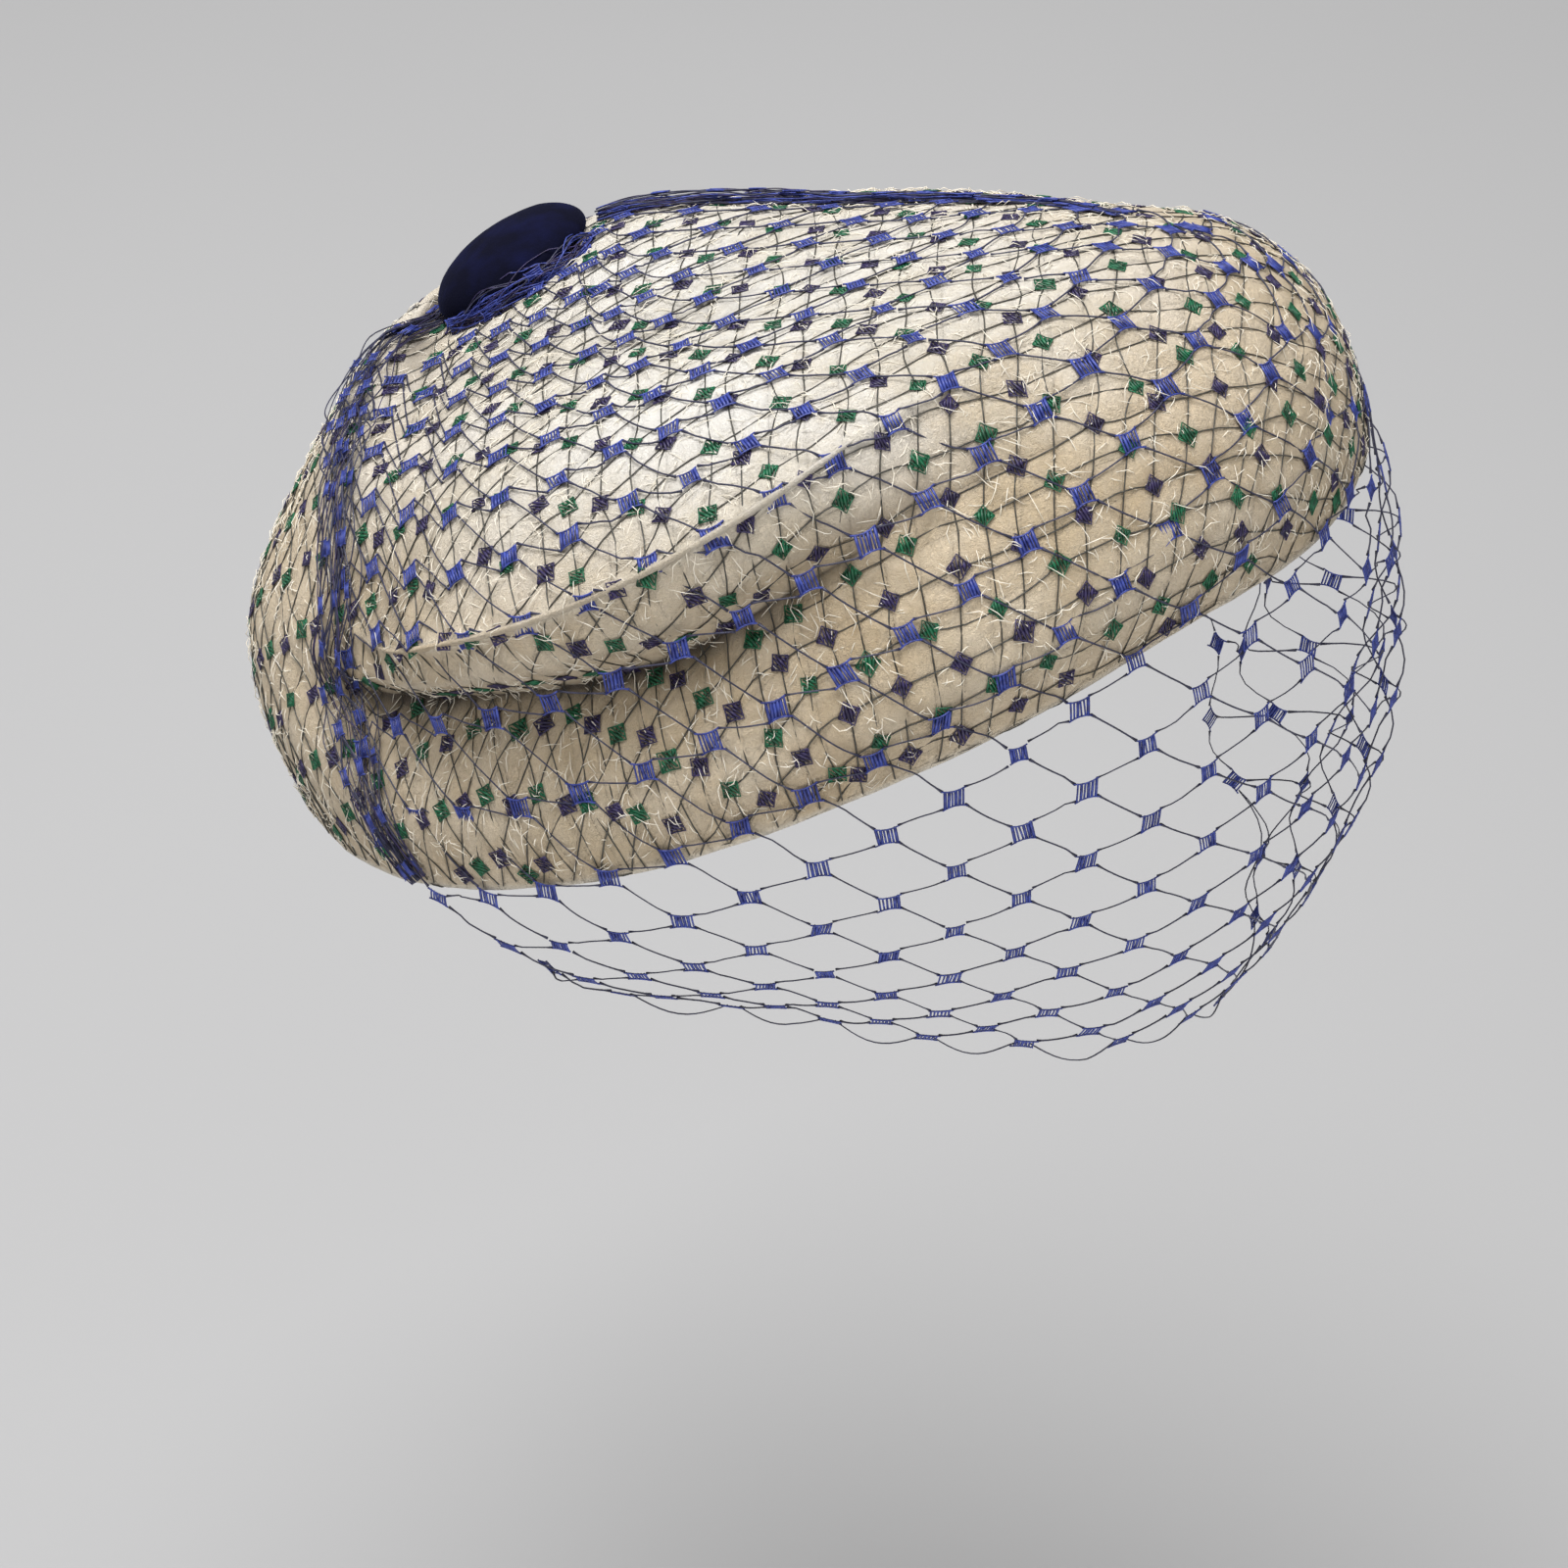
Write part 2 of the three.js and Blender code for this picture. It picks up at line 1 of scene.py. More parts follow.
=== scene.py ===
"""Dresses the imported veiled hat: a creased wool felt hood under two layers of veiling, with a velvet button.

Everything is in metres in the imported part's own frame: the origin is the centre of the head opening, +Z is
up, the front of the hat is towards -Y and the wearer's left is towards +X. The hat's own frame is that frame
tipped back and to the right, as the hat sits on the head.
"""

import logging
import math
from dataclasses import dataclass, field
from enum import Enum

import bmesh
import bpy
import numpy as np
from mathutils import Matrix, Vector
from mathutils.bvhtree import BVHTree
from mathutils.kdtree import KDTree


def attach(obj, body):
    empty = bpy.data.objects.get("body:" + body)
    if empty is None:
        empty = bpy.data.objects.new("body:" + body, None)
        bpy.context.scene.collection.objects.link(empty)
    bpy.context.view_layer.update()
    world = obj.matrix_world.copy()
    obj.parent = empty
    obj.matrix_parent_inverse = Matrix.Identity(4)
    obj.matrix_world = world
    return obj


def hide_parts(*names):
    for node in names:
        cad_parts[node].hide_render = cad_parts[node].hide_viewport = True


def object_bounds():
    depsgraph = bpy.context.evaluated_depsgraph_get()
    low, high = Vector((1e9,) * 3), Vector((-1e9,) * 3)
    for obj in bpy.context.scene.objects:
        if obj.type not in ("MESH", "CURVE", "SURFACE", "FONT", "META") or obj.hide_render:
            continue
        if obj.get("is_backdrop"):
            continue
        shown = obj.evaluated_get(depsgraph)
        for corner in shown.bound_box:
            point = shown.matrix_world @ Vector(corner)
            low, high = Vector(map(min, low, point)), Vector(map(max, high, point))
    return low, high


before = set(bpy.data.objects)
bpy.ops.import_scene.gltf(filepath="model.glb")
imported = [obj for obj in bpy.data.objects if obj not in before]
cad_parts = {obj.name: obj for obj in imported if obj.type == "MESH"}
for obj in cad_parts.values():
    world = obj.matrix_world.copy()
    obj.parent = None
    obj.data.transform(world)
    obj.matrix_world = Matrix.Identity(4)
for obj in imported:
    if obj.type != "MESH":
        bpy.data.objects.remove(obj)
CAD_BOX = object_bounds()

LOG = logging.getLogger("veiled_hat")
MM = 0.001
SEED = 11
FLAT_ANGLE = math.radians(28)
SHAPE_ANGLE = math.radians(80)
BODY = "root"


class Slot(Enum):
    """Names of the record's material slots."""

    FELT = "wool_felt"
    VELVET = "velvet"
    VEILING = "veiling"


class YarnDye(Enum):
    """The dyed yarns of the two nets, each with its place in a net's material list."""

    ROYAL = 0
    NAVY = 1
    GREEN = 2
    THREAD = 3
    OLIVE = 4


def linear(hex_colour: str) -> tuple[float, float, float, float]:
    """Turn an sRGB hex colour into linear values.

    Args:
        hex_colour: Six hex digits.

    Returns:
        The linear red, green, blue and an alpha of one.
    """
    parts = [int(hex_colour[k : k + 2], 16) / 255 for k in (0, 2, 4)]
    return (*[c / 12.92 if c <= 0.04045 else ((c + 0.055) / 1.055) ** 2.4 for c in parts], 1.0)


def add_node(
    tree: bpy.types.NodeTree, kind: str, settings: dict | None = None, inputs: dict | None = None
) -> bpy.types.Node:
    """Add one node with its settings, values and links.

    Args:
        tree: The node tree to add to.
        kind: Blender's name for the node.
        settings: Properties of the node.
        inputs: Values or output sockets, by the name or number of the input socket.

    Returns:
        The new node.
    """
    node = tree.nodes.new(kind)
    for name, value in (settings or {}).items():
        setattr(node, name, value)
    for socket, value in (inputs or {}).items():
        if isinstance(value, bpy.types.NodeSocket):
            tree.links.new(value, node.inputs[socket])
        else:
            node.inputs[socket].default_value = value
    return node


def new_material(name: str) -> tuple[bpy.types.Material, bpy.types.NodeTree, bpy.types.NodeSocket]:
    """Make an empty node material.

    Args:
        name: The material's name.

    Returns:
        The material, its node tree and the place on the object in metres.
    """
    material = bpy.data.materials.new(name)
    material.use_nodes = True
    tree = material.node_tree
    tree.nodes.clear()
    return material, tree, add_node(tree, "ShaderNodeTexCoord").outputs["Object"]


def noise(
    tree: bpy.types.NodeTree, place: bpy.types.NodeSocket, size_mm: float, **settings: float
) -> bpy.types.NodeSocket:
    """Add a noise pattern.

    Args:
        tree: The node tree to add to.
        place: Where the pattern is read.
        size_mm: About how often it repeats.
        **settings: Its detail, roughness and distortion.

    Returns:
        The pattern, from 0 to 1.
    """
    inputs = {name.capitalize(): value for name, value in settings.items()}
    inputs |= {"Vector": place, "Scale": 1 / (size_mm * MM)}
    return add_node(tree, "ShaderNodeTexNoise", None, inputs).outputs["Fac"]


def ramp(
    tree: bpy.types.NodeTree,
    value: bpy.types.NodeSocket,
    span: tuple[float, float],
    to: tuple[float, float] = (0.0, 1.0),
) -> bpy.types.NodeSocket:
    """Stretch the values of one span over another and hold the rest at its ends."""
    ends = {"From Min": span[0], "From Max": span[1], "To Min": to[0], "To Max": to[1]}
    return add_node(tree, "ShaderNodeMapRange", None, {"Value": value} | ends).outputs[0]


def mix(
    tree: bpy.types.NodeTree, share: bpy.types.NodeSocket, one: object, other: object, blend: str = "MIX"
) -> bpy.types.NodeSocket:
    """Blend two colours, each a socket or a linear colour, by the share of the second."""
    kind = {"data_type": "RGBA", "blend_type": blend}
    return add_node(tree, "ShaderNodeMix", kind, {0: share, 6: one, 7: other}).outputs[2]


def calculate(tree: bpy.types.NodeTree, operation: str, *values: object) -> bpy.types.NodeSocket:
    """Work out a number from sockets and values."""
    return add_node(tree, "ShaderNodeMath", {"operation": operation}, dict(enumerate(values))).outputs[0]


def bump(
    tree: bpy.types.NodeTree,
    height: bpy.types.NodeSocket,
    strength: float,
    depth_mm: float,
    under: bpy.types.NodeSocket | None = None,
) -> bpy.types.NodeSocket:
    """Turn a height pattern into a surface direction, on top of another one where given.

    Args:
        tree: The material's node tree.
        height: The height pattern.
        strength: How strongly it turns the surface, from 0 to 1.
        depth_mm: Its full height in millimetres.
        under: The surface direction below it, if there is one.

    Returns:
        The turned surface direction.
    """
    inputs = {"Height": height, "Strength": strength, "Distance": depth_mm * MM}
    if under is not None:
        inputs["Normal"] = under
    return add_node(tree, "ShaderNodeBump", None, inputs).outputs[0]


def mark(tree: bpy.types.NodeTree, name: str) -> bpy.types.NodeSocket:
    """Read one of the values that are written on a piece's vertices."""
    return add_node(tree, "ShaderNodeAttribute", {"attribute_name": name}).outputs["Fac"]


def add_surface(tree: bpy.types.NodeTree, inputs: dict) -> None:
    """Add the surface shader with its values and links, and the material's output."""
    shader = add_node(tree, "ShaderNodeBsdfPrincipled", None, inputs)
    add_node(tree, "ShaderNodeOutputMaterial", None, {"Surface": shader.outputs[0]})


@dataclass(frozen=True)
class WoolFelt:
    """Thick wool felt, wet-felted and blocked by hand: matt, with tangled fibres and faint warm marks."""

    name: str = "felted_wool"
    light: str = "faf7f1"
    deep: str = "e9e2d3"
    stain: str = "cdb27c"
    # Painted shade in creases, notches and the grooves under the inner net's threads.
    hollow_shade: str = "5a4c3b"
    # Painted highlight on ridges that stand out.
    ridge_highlight_tint: str = "f3ead8"
    # Tint of the painted shade that darkens and warms the felt towards the cuff.
    warm: str = "e9d8be"
    patch_mm: float = 38.0
    tangle_mm: float = 2.6
    fibre_mm: float = 0.7
    stain_mm: float = 55.0
    tangle_share: float = 0.55
    tone_span: tuple[float, float] = (0.64, 0.9)
    stain_span: tuple[float, float] = (0.56, 0.72)
    stain_share: float = 0.4
    # How strongly shade is painted in the grooves under the inner net's threads.
    groove_shade_span: tuple[float, float] = (0.0, 0.6)
    groove_shade_share: float = 0.14
    fibre_relief: float = 0.7
    patch_relief: float = 0.35
    quilt_height_mm: float = 0.8
    nap_height_mm: float = 1.1

    def build(self) -> bpy.types.Material:
        """Return the felt's material."""
        material, tree, place = new_material(self.name)
        patch = noise(tree, place, self.patch_mm, detail=5.0, roughness=0.6)
        tangle = noise(tree, place, self.tangle_mm, detail=6.0, roughness=0.65, distortion=1.6)
        fibre = noise(tree, place, self.fibre_mm, detail=3.0, distortion=2.5)
        stain = noise(tree, place, self.stain_mm, detail=7.0, roughness=0.7)
        swell = self._swell(tree)
        mottle = calculate(tree, "MULTIPLY_ADD", tangle, self.tangle_share, patch)
        colour = mix(tree, ramp(tree, mottle, self.tone_span), linear(self.deep), linear(self.light))
        stained = ramp(tree, stain, self.stain_span, (0.0, self.stain_share))
        colour = mix(tree, stained, colour, linear(self.stain))
        # Painted shade: the felt darker and warmer towards the cuff, where less and warmer light falls.
        colour = mix(tree, mark(tree, "cuff_shade"), colour, linear(self.warm), "MULTIPLY")
        # Painted shade in the grooves under the inner net's threads.
        groove_shade = ramp(tree, swell, self.groove_shade_span, (self.groove_shade_share, 0.0))
        colour = mix(tree, groove_shade, colour, linear(self.hollow_shade))
        # Painted shade in creases, tucks and notches.
        colour = mix(tree, mark(tree, "hollow_shade"), colour, linear(self.hollow_shade))
        # Painted highlight on ridges that stand out.
        colour = mix(tree, mark(tree, "wear_and_ridge_highlight"), colour, linear(self.ridge_highlight_tint))
        uneven = calculate(tree, "MULTIPLY_ADD", patch, self.patch_relief, swell)
        relief = calculate(tree, "MULTIPLY_ADD", fibre, self.fibre_relief, tangle)
        puffed = bump(tree, uneven, 0.8, self.quilt_height_mm)
        add_surface(
            tree,
            {"Base Color": colour, "Roughness": 0.94, "IOR": 1.5, "Sheen Weight": 0.25,
             "Sheen Roughness": 0.6, "Specular IOR Level": 0.2,
             "Normal": bump(tree, relief, 1.0, self.nap_height_mm, puffed)},
        )
        return material

    @staticmethod
    def _swell(tree: bpy.types.NodeTree) -> bpy.types.NodeSocket:
        """Return how far the felt swells between the inner net's threads: 0 under a thread, 1 in a cell.

        Args:
            tree: The material's node tree.

        Returns:
            The swell of each place.
        """
        cells = add_node(tree, "ShaderNodeUVMap", {"uv_map": "net_cells"}).outputs["UV"]
        parts = add_node(tree, "ShaderNodeSeparateXYZ", None, {0: cells})
        waves = []
        for axis in (0, 1):
            phase = calculate(tree, "MULTIPLY", parts.outputs[axis], 2 * math.pi)
            waves.append(calculate(tree, "ABSOLUTE", calculate(tree, "SINE", phase)))
        return calculate(tree, "POWER", calculate(tree, "MULTIPLY", *waves), 0.5)


@dataclass(frozen=True)
class WoolFibre:
    """Loose wool ends that stand on the felt: pale and slightly glossy, so they catch the light."""

    name: str = "loose_wool_fibre"
    colour: str = "fffaf0"
    shade: str = "f3e9d2"
    vary_mm: float = 6.0

    def build(self) -> bpy.types.Material:
        """Return the fibres' material."""
        material, tree, place = new_material(self.name)
        tone = mix(tree, noise(tree, place, self.vary_mm), linear(self.shade), linear(self.colour))
        add_surface(tree, {"Base Color": tone, "Roughness": 0.5, "IOR": 1.55})
        return material


@dataclass(frozen=True)
class PileVelvet:
    """Silk velvet, woven with a cut pile: near black seen straight on, with a soft blue bloom at edges."""

    name: str = "cut_pile_velvet"
    base: str = "05061a"
    # Tone of crushed, worn pile: the velvet's own wear.
    wear_and_ridge_highlight: str = "0b0e30"
    bloom: str = "2c3a80"
    crush_mm: float = 9.0
    crush_span: tuple[float, float] = (0.45, 0.75)
    pile_mm: float = 0.6
    pile_height_mm: float = 0.25

    def build(self) -> bpy.types.Material:
        """Return the velvet's material."""
        material, tree, place = new_material(self.name)
        crushed = ramp(tree, noise(tree, place, self.crush_mm, detail=4.0), self.crush_span)
        pile = noise(tree, place, self.pile_mm, detail=2.0)
        add_surface(
            tree,
            {"Base Color": mix(tree, crushed, linear(self.base), linear(self.wear_and_ridge_highlight)), "Roughness": 0.9,
             "IOR": 1.5, "Normal": bump(tree, pile, 0.5, self.pile_height_mm), "Specular IOR Level": 0.1,
             "Sheen Weight": 0.22, "Sheen Roughness": 0.3, "Sheen Tint": linear(self.bloom)},
        )
        return material


@dataclass(frozen=True)
class NetYarn:
    """Dyed nylon veiling yarn, twisted and looped by machine: fine, smooth and a little shiny."""

    name: str
    colour: str
    second: str
    roughness: float = 0.45
    vary_mm: float = 1.6
    vary_span: tuple[float, float] = (0.35, 0.68)

    def build(self) -> bpy.types.Material:
        """Return the yarn's material."""
        material, tree, place = new_material(self.name)
        vary = ramp(tree, noise(tree, place, self.vary_mm, detail=2.0), self.vary_span)
        tone = mix(tree, vary, linear(self.second), linear(self.colour))
        add_surface(tree, {"Base Color": tone, "Roughness": self.roughness, "IOR": 1.53})
        return material


YARNS = {
    YarnDye.ROYAL: NetYarn("royal_blue_nylon_yarn", "4353aa", "232c72"),
    YarnDye.NAVY: NetYarn("navy_nylon_yarn", "3a3060", "1e1634"),
    YarnDye.GREEN: NetYarn("green_nylon_yarn", "12704a", "083c26"),
    YarnDye.THREAD: NetYarn("blue_grey_nylon_thread", "3c3d58", "23243a"),
    YarnDye.OLIVE: NetYarn("olive_grey_nylon_thread", "4e4c45", "2c2b27"),
}


def yarn_finishes() -> list[bpy.types.Material]:
    """Return a net's materials in the order of the dyes."""
    return [YARNS[dye].build() for dye in YarnDye]


@dataclass(frozen=True)
class PaleFloor:
    """Matt painted board: an even pale grey with almost no grain."""

    name: str = "matt_painted_board"
    colour: str = "bbbbbc"
    second: str = "b7b7b8"
    grain_mm: float = 400.0

    def build(self) -> bpy.types.Material:
        """Return the floor's material."""
        material, tree, place = new_material(self.name)
        tone = mix(tree, noise(tree, place, self.grain_mm), linear(self.colour), linear(self.second))
        add_surface(tree, {"Base Color": tone, "Roughness": 0.9, "Specular IOR Level": 0.1})
        return material


def select_only(obj: bpy.types.Object) -> None:
    """Make one object the only selected and the active one.

    Args:
        obj: The object.
    """
    bpy.ops.object.select_all(action="DESELECT")
    obj.select_set(True)
    bpy.context.view_layer.objects.active = obj


def apply_modifier(obj: bpy.types.Object, kind: str, **settings: object) -> None:
    """Add a modifier with its settings and apply it at once.

    Args:
        obj: The object to finish.
        kind: Blender's name for the modifier.
        **settings: The modifier's properties.
    """
    select_only(obj)
    modifier = obj.modifiers.new(kind.lower(), kind)
    for name, value in settings.items():
        setattr(modifier, name, value)
    bpy.ops.object.modifier_apply(modifier=modifier.name)


def copy_of_node(node: str, name: str, merge: float = 0.02 * MM) -> bpy.types.Object:
    """Copy a CAD node as a new piece with joined corners and mostly four-sided faces.

    Args:
        node: The CAD node's name.
        name: The new piece's name.
        merge: Corners closer than this become one.

    Returns:
        The new object.
    """
    obj = bpy.data.objects.new(name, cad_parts[node].data.copy())
    bpy.context.scene.collection.objects.link(obj)
    obj.data.materials.clear()
    select_only(obj)
    bpy.ops.object.mode_set(mode="EDIT")
    bpy.ops.mesh.select_all(action="SELECT")
    bpy.ops.mesh.remove_doubles(threshold=merge)
    bpy.ops.mesh.tris_convert_to_quads(face_threshold=FLAT_ANGLE, shape_threshold=SHAPE_ANGLE)
    bpy.ops.object.mode_set(mode="OBJECT")
    return obj


def crumple(obj: bpy.types.Object, name: str, size: float, height: float) -> None:
    """Push a piece's surface in and out by soft clouds.

    Args:
        obj: The piece.
        name: The pattern's name.
        size: The clouds' size.
        height: How far they move the surface in all.
    """
    cloud = bpy.data.textures.new(name, "CLOUDS")
    cloud.noise_scale = size
    cloud.noise_depth = 2
    apply_modifier(obj, "DISPLACE", texture=cloud, texture_coords="LOCAL", strength=height, mid_level=0.5)


def hand_over(obj: bpy.types.Object, slot: Slot, node: str | None = None) -> bpy.types.Object:
    """Tell the frame what a finished piece rides on and, where given, replaces.

    Args:
        obj: The finished piece.
        slot: The record's material slot; not used.
        node: The CAD node that the piece replaces.

    Returns:
        The same piece.
    """
    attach(obj, BODY)
    if node:
        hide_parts(node)
    return obj


def points_of(obj: bpy.types.Object) -> np.ndarray:
    """Return the places of an object's vertices, one row each.

    Args:
        obj: A mesh object.

    Returns:
        The places in metres.
    """
    flat = np.empty(3 * len(obj.data.vertices))
    obj.data.vertices.foreach_get("co", flat)
    return flat.reshape(-1, 3)


def normals_of(obj: bpy.types.Object) -> np.ndarray:
    """Return the ways out of the surface at an object's vertices, one row each.

    Args:
        obj: A mesh object.

    Returns:
        Unit vectors.
    """
    flat = np.empty(3 * len(obj.data.vertices))
    obj.data.vertices.foreach_get("normal", flat)
    return flat.reshape(-1, 3)


def unit(rows: np.ndarray) -> np.ndarray:
    """Return vectors scaled to a length of one, along the last axis."""
    return rows / np.maximum(np.linalg.norm(rows, axis=-1, keepdims=True), 1e-12)


def smooth_path(points: np.ndarray, count: int) -> np.ndarray:
    """Run a smooth curve through points.

    Args:
        points: The points, one row each.
        count: How many places to give along the curve.

    Returns:
        The places along the curve, one row each.
    """
    ends = np.vstack([2 * points[0] - points[1], points, 2 * points[-1] - points[-2]])
    place = np.linspace(0, len(points) - 1, count)
    k = np.minimum(place.astype(int), len(points) - 2)
    t = (place - k)[:, None]
    a, b, c, d = ends[k], ends[k + 1], ends[k + 2], ends[k + 3]
    return 0.5 * (2 * b + (c - a) * t + (2 * a - 5 * b + 4 * c - d) * t**2 + (3 * b - a - 3 * c + d) * t**3)


@dataclass(frozen=True)
class HatPose:
    """How the hat is tipped on the head, in degrees."""

    tilt_back: float = 20.5
    tilt_right: float = 4.3

    def to_level(self) -> np.ndarray:
        """Return the turn from the hat's own frame to the level frame."""
        turn = Matrix.Rotation(math.radians(-self.tilt_back), 3, "X")
        return np.array(turn @ Matrix.Rotation(math.radians(-self.tilt_right), 3, "Y"))


class FeltSurface:
    """The felt's outer face, asked for places by direction, by plan position or by distance from the top."""

    centre = np.array([0.0, 0.0, 10.0]) * MM
    directions = 180
    lifts = np.arange(90.0, -14.0, -0.75)
    level_lift = 2.0
    widest_jump = 12.0 * MM
    step = 1.0 * MM
    outside = 0.4
    nudge = 2.0 * MM
    least_far = 10.0 * MM

    def __init__(self, felt: bpy.types.Object, pose: HatPose) -> None:
        """Read the finished felt.

        Args:
            felt: The finished felt hood.
            pose: How the hat sits.
        """
        self.turn = pose.to_level()
        local = points_of(felt) @ self.turn
        faces = [tuple(p.vertices) for p in felt.data.polygons]
        self.tree = BVHTree.FromPolygons([Vector(p) for p in local], faces)
        self._unroll()

    def from_outside(self, direction: np.ndarray) -> np.ndarray | None:
        """Return where a ray towards the centre first meets the felt, in the hat's frame.

        Args:
            direction: The way from the centre to the ray's start.

        Returns:
            The place, or None where the ray meets nothing.
        """
        start = Vector(self.centre + direction * self.outside)
        hit = self.tree.ray_cast(start, Vector(-direction))[0]
        return None if hit is None else np.array(hit)

    def from_above(self, x: float, y: float) -> np.ndarray | None:
        """Return where a ray straight down the hat's own axis first meets the felt."""
        hit = self.tree.ray_cast(Vector((x, y, self.outside)), Vector((0, 0, -1)))[0]
        return None if hit is None else np.array(hit)

    def nearest(self, point: np.ndarray) -> tuple[np.ndarray, np.ndarray]:
        """Return the nearest place on the felt and the way out of it, in the hat's frame."""
        spot, normal, _, _ = self.tree.find_nearest(Vector(point))
        return np.array(spot), np.array(normal)

    def _unroll(self) -> None:
        """Lay the outer face out by direction and by distance along it from the top."""
        rows = []
        self.rim = np.zeros(self.directions)
        for k in range(self.directions):
            turn = 2 * math.pi * k / self.directions
            line = []
            for lift in self.lifts:
                e = math.radians(lift)
                way = np.array([-math.sin(turn) * math.cos(e), -math.cos(turn) * math.cos(e), math.sin(e)])
                hit = self.from_outside(way)
                if hit is None:
                    break
                if line and np.linalg.norm(hit - line[-1]) > self.widest_jump and lift < self.level_lift:
                    break
                line.append(hit)
            line = np.array(line)
            far = np.concatenate([[0], np.cumsum(np.linalg.norm(np.diff(line, axis=0), axis=1))])
            self.rim[k] = far[-1]
            rows.append((far, line))
        self.steps = int(self.rim.max() / self.step) + 2
        marks = np.arange(self.steps) * self.step
        self.grid = np.array(
            [[np.interp(marks, far, line[:, axis]) for axis in range(3)] for far, line in rows]
        ).transpose(0, 2, 1)

    def _read(self, turn: np.ndarray, far: np.ndarray) -> np.ndarray:
        """Return places on the felt by direction in radians and distance from the top.

        Args:
            turn: Directions around the hat in radians.
            far: Distances along the felt in metres.

        Returns:
            The places in the hat's frame.
        """
        column = (turn / (2 * math.pi) * self.directions) % self.directions
        c0 = column.astype(int) % self.directions
        c1 = (c0 + 1) % self.directions
        u = (column - np.floor(column))[..., None]
        row = np.clip(far / self.step, 0, self.steps - 1.001)
        r0 = row.astype(int)
        v = (row - r0)[..., None]
        low = self.grid[c0, r0] * (1 - v) + self.grid[c0, r0 + 1] * v
        high = self.grid[c1, r0] * (1 - v) + self.grid[c1, r0 + 1] * v
        return low * (1 - u) + high * u

    def rim_distance(self, turn: np.ndarray) -> np.ndarray:
        """Return the distance from the top to the rim, by direction in radians."""
        column = (turn / (2 * math.pi) * self.directions) % self.directions
        return np.interp(column, np.arange(self.directions + 1), np.append(self.rim, self.rim[0]))

    def wrap(self, flat: np.ndarray) -> tuple[np.ndarray, np.ndarray, np.ndarray]:
        """Lay flat places over the hood.

        Args:
            flat: Places on a flat sheet centred on the top, last axis x and y.

        Returns:
            The places and the ways out of the felt in the hat's frame, and how far each is inside the rim.
        """
        turn = np.arctan2(-flat[..., 0], -flat[..., 1])
        far = np.linalg.norm(flat, axis=-1)
        place = self._read(turn, far)
        sweep = self.nudge / np.maximum(far, self.least_far)
        along = self._read(turn, far + self.nudge) - self._read(turn, np.maximum(far - self.nudge, 0))
        across = self._read(turn + sweep, far) - self._read(turn - sweep, far)
        normal = unit(np.cross(along, across))
        out = place - self.centre
        flip = np.sign(np.sum(normal * out, axis=-1, keepdims=True))
        return place, normal * np.where(flip == 0, 1, flip), self.rim_distance(turn) - far

    def flat_of(self, local: np.ndarray) -> np.ndarray:
        """Return the flat places of points on the felt, the other way round from wrap.

        Args:
            local: The points in the hat's frame, one row each.

        Returns:
            The flat x and y of each point.
        """
        tree = KDTree(self.directions * self.steps)
        for k, spot in enumerate(self.grid.reshape(-1, 3)):
            tree.insert(Vector(spot), k)
        tree.balance()
        far = np.empty(len(local))
        for k, point in enumerate(local):
            near = tree.find_n(Vector(point), 4)
            weights = np.array([1 / (n[2] + 0.1 * MM) ** 2 for n in near])
            far[k] = np.average([n[1] % self.steps * self.step for n in near], weights=weights)
        turn = np.arctan2(-local[:, 0], -local[:, 1])
        return np.stack([-far * np.sin(turn), -far * np.cos(turn)], axis=1)


